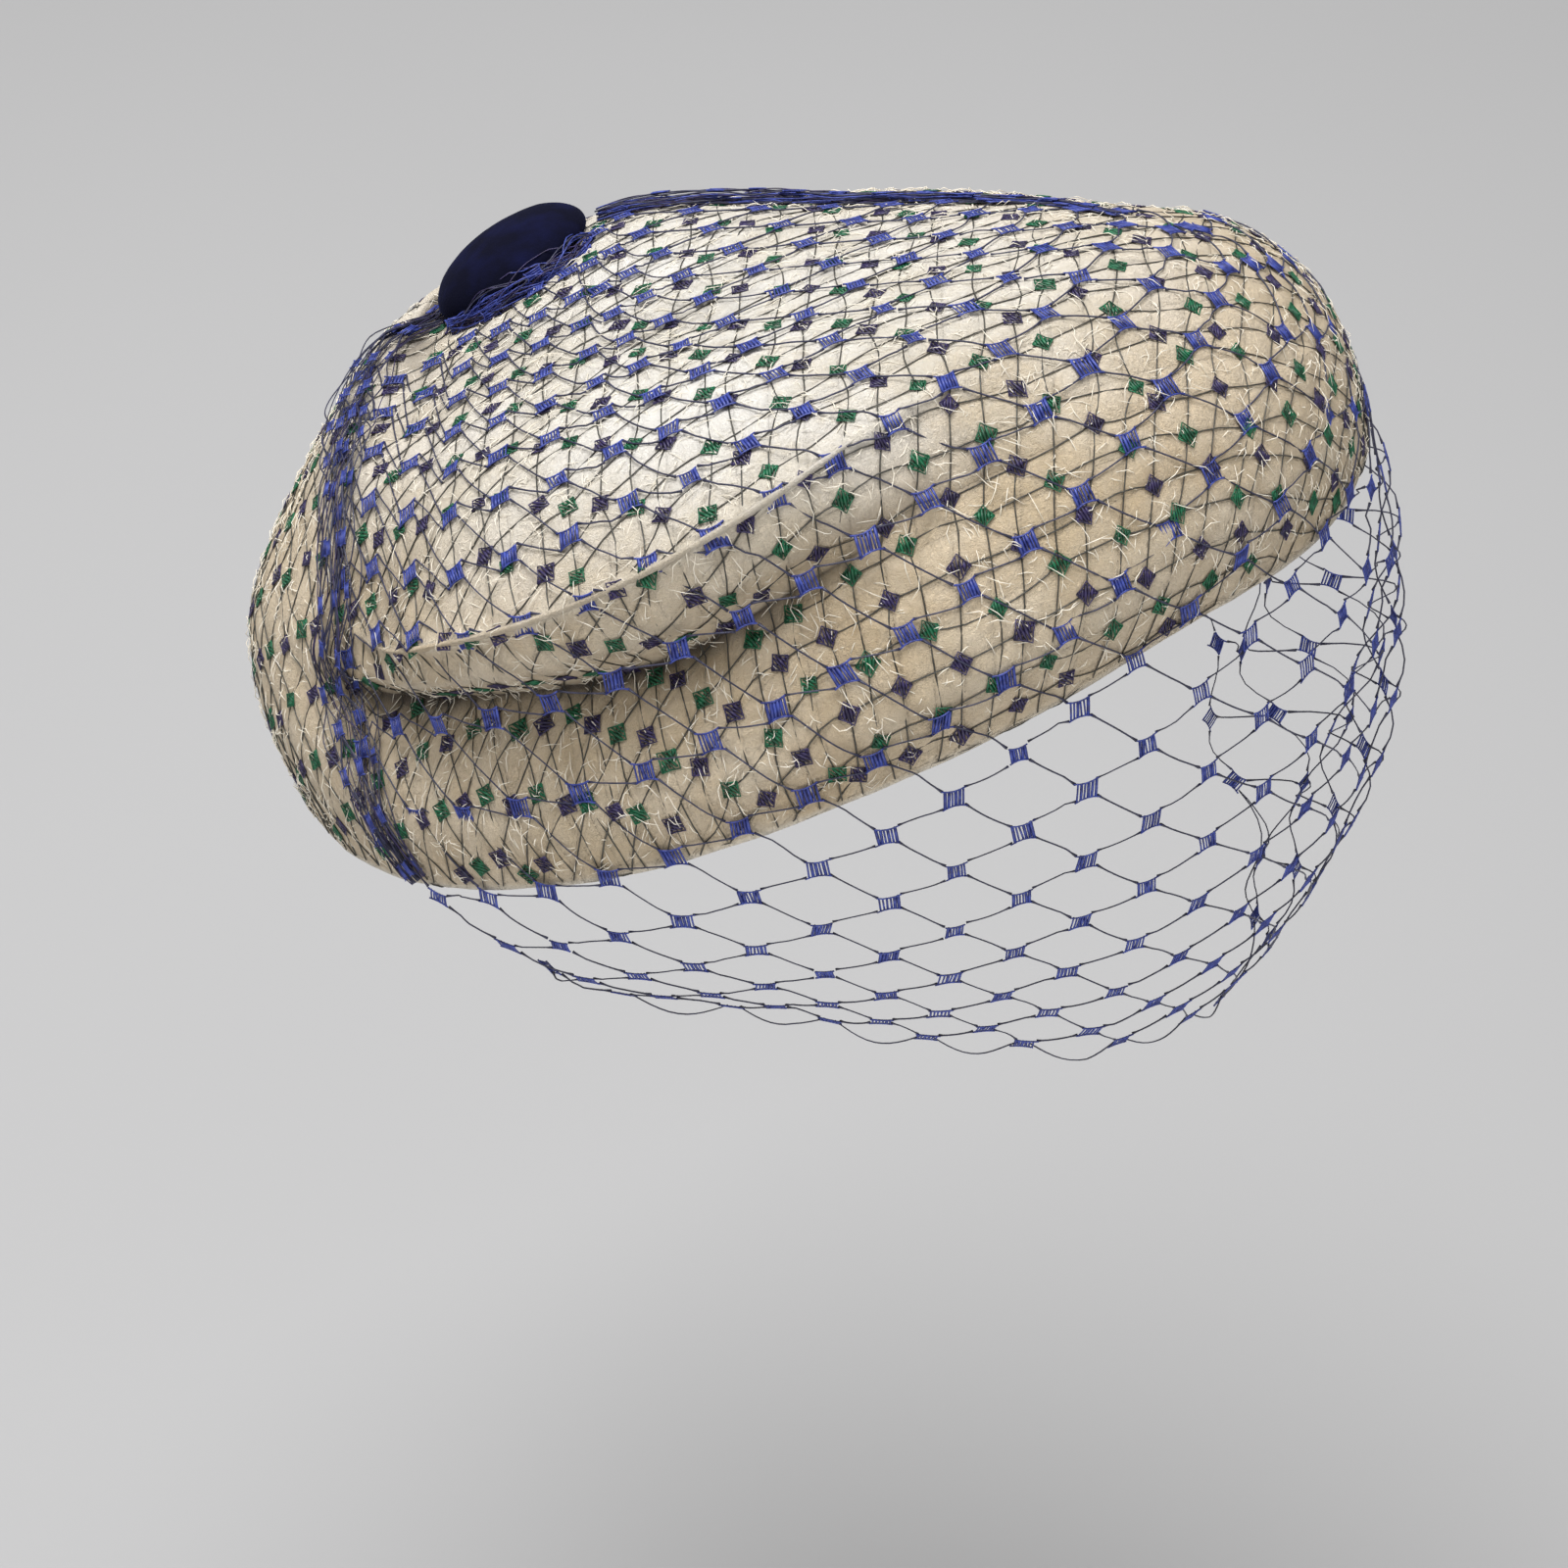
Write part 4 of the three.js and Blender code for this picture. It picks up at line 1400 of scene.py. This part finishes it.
    def _line(self, angle: float) -> tuple[np.ndarray, np.ndarray]:
        """Return the distances up the net and the places of the veil's whole line in one direction.

        Args:
            angle: The direction in degrees.

        Returns:
            The distances, and the places one row each.
        """
        felt = self._line_over_felt(angle) @ self.surface.turn.T
        hang = self._hanging(angle, felt[0])
        base = float(np.interp(angle, *zip(*self.row_base)))
        level = np.maximum.accumulate(hang[:, 2] + base * self.drop)
        steps = np.linalg.norm(np.diff(felt, axis=0), axis=1)
        rate = np.where(np.cumsum(steps) > self.crown_from, self.crown_rate, 1.0)
        climb = level[-1] + np.cumsum(steps * rate)
        return np.concatenate([level, climb]), np.vstack([hang, felt[1:]])

    def _hanging(self, angle: float, rim: np.ndarray) -> np.ndarray:
        """Return the veil's line in one direction from its lower edge up to its place at the rim.

        Args:
            angle: The direction in degrees.
            rim: The line's place at the rim.

        Returns:
            Places, one row each.
        """
        turn = math.radians(angle)
        out = self._edge_value("out", angle) * self.rim_radius
        down = self._edge_value("down", angle) * self.drop
        low = np.array([-out * math.sin(turn), -out * math.cos(turn), -down])
        middle = (rim + low) / 2
        belly = self._edge_value("belly", angle) * self.rim_radius
        middle[:2] *= 1 + belly / max(np.hypot(*middle[:2]), 1 * MM)
        pull = 2 * middle - (rim + low) / 2
        t = np.linspace(0, 1, self.hang_steps)[:, None]
        hang = low * (1 - t) ** 2 + 2 * pull * t * (1 - t) + rim * t**2
        begin, end = self.fold_ends
        folded = np.clip((self.fold_from - angle) / begin, 0, 1) * np.clip((angle - self.fold_to) / end, 0, 1)
        fold = self.fold_depth * folded * math.sin(2 * math.pi * angle / self.fold_period)
        hang[:, :2] *= 1 + fold * np.sin(math.pi * self.fold_reach * (1 - t)) / self.rim_radius
        return hang

    def place(self, i: np.ndarray, up: np.ndarray) -> np.ndarray:
        """Return places on the net.

        Args:
            i: Column numbers, whole or not.
            up: Distances up the net.

        Returns:
            The places in the level frame.
        """
        shape = np.shape(i)
        fine = np.clip(np.ravel(i) * self.fineness, 0, len(self.lines) - 1.001)
        result = np.empty((len(fine), 3))
        for n, (column, height) in enumerate(zip(fine, np.ravel(up))):
            k = int(column)
            t = column - k
            for axis in range(3):
                a = np.interp(height, self.lines[k][0], self.lines[k][1][:, axis])
                b = np.interp(height, self.lines[k + 1][0], self.lines[k + 1][1][:, axis])
                result[n, axis] = a * (1 - t) + b * t
        return result.reshape(*shape, 3)

    def _spots(self) -> dict[tuple[int, int], tuple[float, float]]:
        """Return the knots' column and height up the net, by column and row number."""
        spots = {}
        for i in range(self.columns + 1):
            marks = self.lines[min(i * self.fineness, len(self.lines) - 1)][0]
            for j in range(self.most_rows):
                up = j * self.row_rise
                if (i + j) % 2 == 0 and marks[0] - self.edge_slack <= up <= marks[-1] - self.end_gap:
                    spots[i, j] = (float(i), max(up, marks[0]))
        return spots

    def _frames(self, i: np.ndarray, up: np.ndarray) -> tuple[np.ndarray, ...]:
        """Return places on the net with the unit vectors across, up and out of it and the way along a row.

        Args:
            i: Column numbers.
            up: Distances up the net.

        Returns:
            Five arrays with one row for each place.
        """
        step = self.frame_step
        rise = self.frame_rise
        ahead = self.place(np.minimum(i + step, self.columns), up) - self.place(np.maximum(i - step, 0), up)
        high = self.place(i, up + rise) - self.place(i, up - rise)
        out = unit(np.cross(high, ahead))
        upward = unit(high)
        return self.place(i, up), unit(np.cross(upward, out)), upward, out, ahead

    def _add_knots(self, mesh: StrandMesh, spots: dict, random: np.random.Generator) -> None:
        """Add the knots.

        Args:
            mesh: The strands so far.
            spots: The knots' columns and heights.
            random: The source of the small differences.
        """
        i, up = np.array(list(spots.values())).T
        place, across, upward, out, _ = self._frames(i, up)
        self.knot.add_to(mesh, place, across, upward, out, YarnDye.ROYAL.value, random)

    def _add_threads(self, mesh: StrandMesh, spots: dict, random: np.random.Generator) -> None:
        """Add the threads between the corners of neighbouring knots.

        Args:
            mesh: The strands so far.
            spots: The knots' columns and heights.
            random: The source of the small differences.
        """
        starts = []
        ends = []
        for (i, j), spot in spots.items():
            for step in (-1, 1):
                other = spots.get((i + step, j + 1))
                if other is not None:
                    starts.append((*spot, step))
                    ends.append(other)
        start = np.array(starts)
        end = np.array(ends)
        share = np.linspace(0, 1, self.thread_steps)[None, :]
        i = start[:, :1] + (end[:, :1] - start[:, :1]) * share
        up = start[:, 1:2] + (end[:, 1:2] - start[:, 1:2]) * share
        place = self.place(i, up)
        low = self._corner(start[:, 0], start[:, 1], start[:, 2], 1) - place[:, 0]
        high = self._corner(end[:, 0], end[:, 1], -start[:, 2], -1) - place[:, -1]
        place += low[:, None] * (1 - share)[..., None] + high[:, None] * share[..., None]
        out = unit(place * np.array(self.thread_faces))
        side = unit(np.cross(out, place[:, -1:] - place[:, :1]))
        bow = random.normal(0, self.bow, (len(start), 1)) * np.sin(math.pi * share)
        place += side * bow[..., None]
        ends = self.thread + (self.pulled_end - self.thread) * np.abs(2 * share - 1) ** self.end_power
        mesh.add(place, out, ends, ends, YarnDye.THREAD.value)

    def _corner(self, i: np.ndarray, up: np.ndarray, side: np.ndarray, end: int) -> np.ndarray:
        """Return the knots' corners on the side of rising or falling columns, at the top or bottom end.

        Args:
            i: The knots' column numbers.
            up: Their distances up the net.
            side: 1 for the side of rising columns, -1 for the other.
            end: 1 for the top, -1 for the bottom.

        Returns:
            The corners, one row each.
        """
        centre, across, upward, _, ahead = self._frames(i, up)
        across = across * np.sign(np.sum(across * ahead, axis=-1, keepdims=True))
        wide = self.knot.width * self.corner_reach[0]
        tall = self.knot.height * self.corner_reach[1]
        return centre + across * (side * wide)[:, None] + upward * tall * end

    def _add_edge_loops(self, mesh: StrandMesh, spots: dict) -> None:
        """Add the loops of the lower edge, from each lowest knot to the next.

        Args:
            mesh: The strands so far.
            spots: The knots' columns and heights.
        """
        waiting = None
        bottom: dict[int, int] = {}
        for i, j in sorted(spots):
            bottom.setdefault(i, j)
        for i in range(self.columns + 1):
            j = bottom.get(i)
            if j is None:
                continue
            open_left = (i - 1, j - 1) not in spots
            open_right = (i + 1, j - 1) not in spots
            most = self.loop_most_rows * self.row_rise
            level = waiting is not None and abs(spots[waiting][1] - spots[i, j][1]) < most
            if open_left and level:
                self._add_loop(mesh, spots[waiting], spots[i, j])
            if open_right:
                waiting = (i, j)

    def _add_loop(self, mesh: StrandMesh, left: tuple[float, float], right: tuple[float, float]) -> None:
        """Add one sagging loop between two knots.

        Args:
            mesh: The strands so far.
            left: The first knot's column and height.
            right: The second knot's column and height.
        """
        share = np.linspace(0, 1, self.loop_steps)
        i = left[0] + self.loop_inset + (right[0] - left[0] - 2 * self.loop_inset) * share
        up = left[1] + (right[1] - left[1]) * share - self.knot.height * self.loop_from
        place = self.place(i, up)
        place[:, 2] -= self.loop_sag * np.sin(math.pi * share)
        out = unit(place * np.array(self.loop_faces))
        mesh.add(place[None], out[None], self.thread, self.thread, YarnDye.THREAD.value)


@dataclass
class Gather:
    """A bunched stretch of the outer veil: its threads and knots drawn together along a line."""

    surface: FeltSurface
    name: str
    node: str | None
    route: tuple[tuple[float, float, float, float], ...]
    width: float
    height: float
    cords: int
    layers: int
    seed: int
    out: tuple[float, float, float] | None = None
    loose: int = 10
    loose_dye: YarnDye = YarnDye.ROYAL
    half_cell: float = 13.0 * MM
    step: float = 1.6 * MM
    yarn: float = 0.38 * MM
    lift: float = 0.7 * MM
    shared_wander: float = 0.16
    cord_wander: float = 0.05
    level_wander: float = 0.1
    loose_wander: float = 0.55
    loose_level: float = 0.6
    loose_reach: float = 1.3
    loose_finer: tuple[float, float] = (0.8, 0.9)
    dome_reach: float = 1.5
    dome_least: float = 0.04
    waves: tuple[int, ...] = (1, 2, 4, 7)
    path_window: int = 7
    normal_window: int = 15
    knot: KnotShape = field(
        default_factory=lambda: KnotShape(
            width=2.1 * MM, height=4.2 * MM, strands=4, waist=0.8, thickness=0.4 * MM
        )
    )

    def build(self) -> bpy.types.Object:
        """Return the gather as one piece."""
        self.random = np.random.default_rng(SEED + self.seed)
        self._lay_route()
        mesh = StrandMesh()
        for layer in range(self.layers):
            self._add_layer(mesh, layer)
        self._add_loose_threads(mesh)
        return mesh.build(self.name, self.surface.turn, yarn_finishes(), Slot.VEILING, self.node)

    def _lay_route(self) -> None:
        """Work out the middle line, the ways along, across and out of it, and its size at each step."""
        rows = np.array(self.route)
        length = np.linalg.norm(np.diff(rows[:, :3], axis=0), axis=1).sum() * MM
        count = int(length / self.step)
        line = smooth_path(np.column_stack([rows[:, :3] * MM, rows[:, 3]]), count)
        self.base = line[:, :3]
        self.size = line[:, 3]
        if self.out is None:
            hits = [self.surface.from_outside(unit(point - self.surface.centre)) for point in self.base]
            self.base = np.array([point if hit is None else hit for point, hit in zip(self.base, hits)])
            normal = np.array([self.surface.nearest(point)[1] for point in self.base])
        else:
            normal = np.tile(np.array(self.out), (count, 1))
        self.base = self._eased(self.base, self.path_window)
        self.normal = unit(self._eased(normal, self.normal_window))
        along = unit(np.gradient(self.base, axis=0))
        self.across = unit(np.cross(self.normal, along))
        self.along = np.cross(self.across, self.normal)
        self.far = np.arange(count) * self.step

    @staticmethod
    def _eased(rows: np.ndarray, window: int) -> np.ndarray:
        """Return rows averaged over a window, with the ends held.

        Args:
            rows: The rows.
            window: An odd number of rows to average.

        Returns:
            As many rows as were given.
        """
        half = window // 2
        held = np.vstack([np.repeat(rows[:1], half, axis=0), rows, np.repeat(rows[-1:], half, axis=0)])
        even = np.ones(window) / window
        return np.stack([np.convolve(column, even, "valid") for column in held.T], 1)

    def _wander(self, shape: tuple[int, int], strength: float) -> np.ndarray:
        """Return slow random waves along the route, one row each.

        Args:
            shape: The number of rows and of steps.
            strength: The size of the longest wave.

        Returns:
            The waves.
        """
        share = np.linspace(0, 1, shape[1])
        return sum(
            self.random.normal(0, strength / k, (shape[0], 1))
            * np.sin(2 * math.pi * k * share + self.random.uniform(0, 2 * math.pi, (shape[0], 1)))
            for k in self.waves
        )

    def _path(self, sideways: np.ndarray, level: np.ndarray) -> np.ndarray:
        """Return places at a share of the half width and of the height, by cord and step.

        Args:
            sideways: Shares of the half width.
            level: Shares of the height.

        Returns:
            The places, by cord and step.
        """
        domed = np.sqrt(np.clip(1 - (sideways / self.dome_reach) ** 2, self.dome_least, 1))
        lift = self.lift + self.height * self.size * np.clip(level, 0, 1) * domed
        return (
            self.base
            + self.across * (sideways * self.width / 2 * self.size)[..., None]
            + self.normal * lift[..., None]
        )

    def _add_layer(self, mesh: StrandMesh, layer: int) -> None:
        """Add one layer of cords that meet their neighbours at knots, left and right in turn.

        Args:
            mesh: The strands so far.
            layer: The layer's number from the felt.
        """
        count = len(self.far)
        number = np.arange(self.cords)[:, None]
        phase = self.random.uniform(0, 2 * math.pi)
        swing = np.sin(math.pi * self.far / self.half_cell + phase) / self.cords * (1 - 2 * (number % 2))
        shift = self._wander((1, count), self.shared_wander)
        shape = (self.cords, count)
        sideways = (2 * number + 1) / self.cords - 1 + swing + shift + self._wander(shape, self.cord_wander)
        level = np.full(shape, (layer + 0.5) / self.layers) + self._wander(shape, self.level_wander)
        path = self._path(sideways, level)
        out = np.repeat(self.normal[None], self.cords, axis=0)
        dye = (YarnDye.THREAD, YarnDye.ROYAL)[layer % 3 == 2]
        mesh.add(path, out, self.yarn, self.yarn, dye.value)
        turns = np.arange(int(self.far[-1] / self.half_cell) + 2)
        for sign, first in ((1, 0), (-1, 1)):
            spots = (2 * turns + 0.5 * sign) * self.half_cell - phase * self.half_cell / math.pi
            marks = (spots / self.step).round().astype(int)
            marks = marks[(marks > 1) & (marks < count - 2)]
            for left in range(first, self.cords - 1, 2):
                centre = (path[left, marks] + path[left + 1, marks]) / 2
                self.knot.add_to(
                    mesh, centre, self.across[marks], self.along[marks], self.normal[marks],
                    YarnDye.ROYAL.value, self.random,
                )

    def _add_loose_threads(self, mesh: StrandMesh) -> None:
        """Add threads that wander through the whole bunch.

        Args:
            mesh: The strands so far.
        """
        count = len(self.far)
        sideways = self._wander((self.loose, count), self.loose_wander)
        level = np.abs(self._wander((self.loose, count), self.loose_level))
        out = np.repeat(self.normal[None], self.loose, axis=0)
        path = self._path(np.clip(sideways, -self.loose_reach, self.loose_reach), level)
        half = self.loose // 2
        parts = (slice(0, half), slice(half, None))
        for part, share, dye in zip(parts, self.loose_finer, (YarnDye.NAVY, self.loose_dye)):
            mesh.add(path[part], out[part], self.yarn * share, self.yarn * share, dye.value)


@dataclass
class VelvetButton:
    """The padded velvet button on the crown."""

    smooth_levels: int = 3
    crush_size: float = 11.0 * MM
    crush_height: float = 0.5 * MM

    def build(self) -> bpy.types.Object:
        """Return the button."""
        obj = copy_of_node("velvet_button", "padded_button")
        apply_modifier(obj, "SUBSURF", levels=self.smooth_levels, render_levels=self.smooth_levels)
        crumple(obj, "velvet_crush", self.crush_size, self.crush_height)
        obj.data.materials.append(PileVelvet().build())
        select_only(obj)
        bpy.ops.object.shade_smooth()
        return hand_over(obj, Slot.VELVET, "velvet_button")


def way_to(azimuth: float, elevation: float) -> Vector:
    """Return the way from the hat to a place by its angles: azimuth 0 is the front, in degrees.

    Args:
        azimuth: Degrees from the front towards the wearer's left.
        elevation: Degrees above the horizon.

    Returns:
        A unit vector.
    """
    a = math.radians(azimuth)
    e = math.radians(elevation)
    return Vector((math.sin(a) * math.cos(e), -math.cos(a) * math.cos(e), math.sin(e)))


@dataclass(frozen=True)
class PhotoView:
    """The photograph's viewpoint: angles in degrees, lengths in pixels of its 1600 pixel frame or metres."""

    azimuth: float = -42.0
    elevation: float = 44.1
    focal_px: float = 4100.0
    frame_px: float = 1600.0
    origin_x_px: float = 834.0
    origin_y_px: float = 575.0
    distance: float = 1.0
    sensor_mm: float = 36.0

    def build(self) -> bpy.types.Object:
        """Return the scene's camera."""
        a = math.radians(self.azimuth)
        back = way_to(self.azimuth, self.elevation)
        right = Vector((math.cos(a), math.sin(a), 0))
        up = back.cross(right)
        half = self.frame_px / 2
        aside = (self.origin_x_px - half) / self.focal_px * self.distance
        above = (half - self.origin_y_px) / self.focal_px * self.distance
        data = bpy.data.cameras.new("photo_view")
        data.sensor_width = self.sensor_mm
        data.lens = self.sensor_mm * self.focal_px / self.frame_px
        camera = bpy.data.objects.new("photo_view", data)
        bpy.context.scene.collection.objects.link(camera)
        place = back * self.distance - right * aside - up * above
        turn = Matrix((right, up, back)).transposed().to_4x4()
        camera.matrix_world = Matrix.Translation(place) @ turn
        bpy.context.scene.camera = camera
        return camera


@dataclass(frozen=True)
class Lamp:
    """One soft square lamp that points at the hat."""

    name: str
    azimuth: float
    elevation: float
    distance: float
    size: float
    power: float

    def build(self) -> bpy.types.Object:
        """Return the lamp."""
        back = way_to(self.azimuth, self.elevation)
        data = bpy.data.lights.new(self.name, "AREA")
        data.size = self.size
        data.energy = self.power
        lamp = bpy.data.objects.new(self.name, data)
        bpy.context.scene.collection.objects.link(lamp)
        lamp.location = back * self.distance
        lamp.rotation_mode = "QUATERNION"
        lamp.rotation_quaternion = back.to_track_quat("Z", "Y")
        return lamp


@dataclass
class Studio:
    """A pale floor well below the hat, soft lamps and an even sky."""

    floor_drop: float = 0.45
    floor_size: float = 12.0
    sky: str = "e9e8e6"
    sky_strength: float = 0.47
    lamps: tuple[Lamp, ...] = (
        Lamp("ceiling_light", 168.0, 74.0, 1.5, 1.0, 30.0),
        Lamp("window_light", -110.0, 35.0, 2.0, 1.5, 6.0),
        Lamp("front_fill", 0.0, 16.0, 2.2, 2.0, 12.0),
        Lamp("floor_bounce", -40.0, -30.0, 0.8, 0.9, 3.6),
    )

    def build(self) -> None:
        """Make the floor, the lamps and the sky."""
        bpy.ops.object.select_all(action="DESELECT")
        bpy.ops.mesh.primitive_plane_add(size=self.floor_size, location=(0, 0, 0))
        floor = bpy.context.active_object
        floor.name = "pale_floor"
        floor.data.transform(Matrix.Translation((0, 0, -self.floor_drop)))
        floor.data.materials.append(PaleFloor().build())
        floor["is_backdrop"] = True
        for lamp in self.lamps:
            lamp.build()
        world = bpy.data.worlds.new("even_sky")
        world.use_nodes = True
        world.node_tree.nodes.clear()
        sky = add_node(
            world.node_tree, "ShaderNodeBackground", None,
            {"Color": linear(self.sky), "Strength": self.sky_strength},
        )
        add_node(world.node_tree, "ShaderNodeOutputWorld", None, {"Surface": sky.outputs[0]})
        bpy.context.scene.world = world
        bpy.context.scene.view_settings.view_transform = "Standard"


# The routes' points: x, y, z in the hat's frame in mm, and the share of full size.
CROWN_GATHER_ROUTE = (
    (6, 58, 85, 0.8),
    (30, 38, 88, 1.0),
    (45, 21, 88, 0.95),
    (58, -4, 86, 0.75),
    (67, -30, 84, 0.5),
    (75, -54, 82, 0.35),
    (74, -77, 78, 0.25),
)
BACK_GATHER_ROUTE = (
    (-27.7, 85, 75.6, 0.55),
    (-48.4, 77.6, 76.1, 0.7),
    (-69.1, 61.5, 76.7, 0.85),
    (-82.4, 47.5, 75.9, 0.95),
    (-92.7, 36.1, 73.2, 1.0),
    (-106.9, 25, 62.2, 1.0),
    (-118.9, 16.9, 49.6, 1.0),
    (-123.4, 17.1, 35.8, 0.95),
    (-130.9, 5.8, 27, 0.9),
    (-138.8, -4.5, 15.6, 0.75),
    (-138.9, -14.9, -0.8, 0.5),
)
BUTTON_RUFF_ROUTE = (
    (-39.4, 64.7, 77.2, 0.5),
    (-36.4, 57.7, 79.7, 0.8),
    (-31.4, 50.7, 82.2, 1),
    (-22.4, 45.2, 84.2, 1),
    (-12.4, 43.7, 85.2, 1),
    (-3.4, 45.7, 84.7, 0.9),
    (5.6, 52.7, 83.2, 0.7),
)
TUCK_ROUTE = (
    (-119.5, 6, 50.2, 0.5),
    (-122.8, -6.5, 51.7, 0.8),
    (-124.5, -19.8, 55.4, 1.0),
    (-124.1, -33.3, 59.8, 1.0),
    (-120.7, -46.3, 63.2, 1.0),
    (-114.8, -58.5, 66.1, 1.0),
    (-107.1, -69.5, 69, 1.0),
    (-97.9, -79.2, 71.9, 1.0),
    (-87.8, -87.8, 75, 1.0),
    (-76.7, -94.5, 77.9, 1.0),
    (-64.1, -98.5, 79.9, 1.0),
    (-51.2, -100.2, 81.2, 0.8),
    (-41, -100.5, 81.4, 0.45),
)
RUFF_FACES = (-0.44, -0.74, 0.50)


def write_sizes() -> None:
    """Work out the CAD model's box and the dressed part's box, without keeping them."""
    boxes = {"cad": CAD_BOX, "dressed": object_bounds()}
    rows = {name: [list(corner) for corner in box] for name, box in boxes.items()}


def main() -> None:
    """Dress the hat and set the stage."""
    logging.basicConfig(level=logging.INFO, format="%(message)s")
    PhotoView().build()
    Studio().build()
    felt = FeltHood().build()
    surface = FeltSurface(felt, HatPose())
    inner = InnerNet(surface)
    inner.press_into(felt)
    pieces = [felt, *inner.build()]
    makers = (
        TuckLip(surface, TUCK_ROUTE, felt.data.materials[0]),
        WoolEnds(surface, np.vstack(inner.knots)),
        OuterVeil(surface),
        Gather(
            surface, "crown_roll", "crown_gather", CROWN_GATHER_ROUTE,
            width=9 * MM, height=4 * MM, cords=4, layers=4, seed=3, loose=20,
        ),
        Gather(
            surface, "back_bunch", "back_gather", BACK_GATHER_ROUTE,
            width=17 * MM, height=3.5 * MM, cords=5, layers=2, seed=4, loose=12, loose_dye=YarnDye.THREAD,
        ),
        Gather(
            surface, "button_ruff", None, BUTTON_RUFF_ROUTE,
            width=8 * MM, height=3 * MM, cords=3, layers=2, seed=5, out=RUFF_FACES, loose=44,
        ),
        VelvetButton(),
    )
    pieces += [maker.build() for maker in makers]
    for piece in pieces:
        LOG.info("%s: %d faces", piece.name, len(piece.data.polygons))
    write_sizes()


if __name__ == "__main__":
    main()
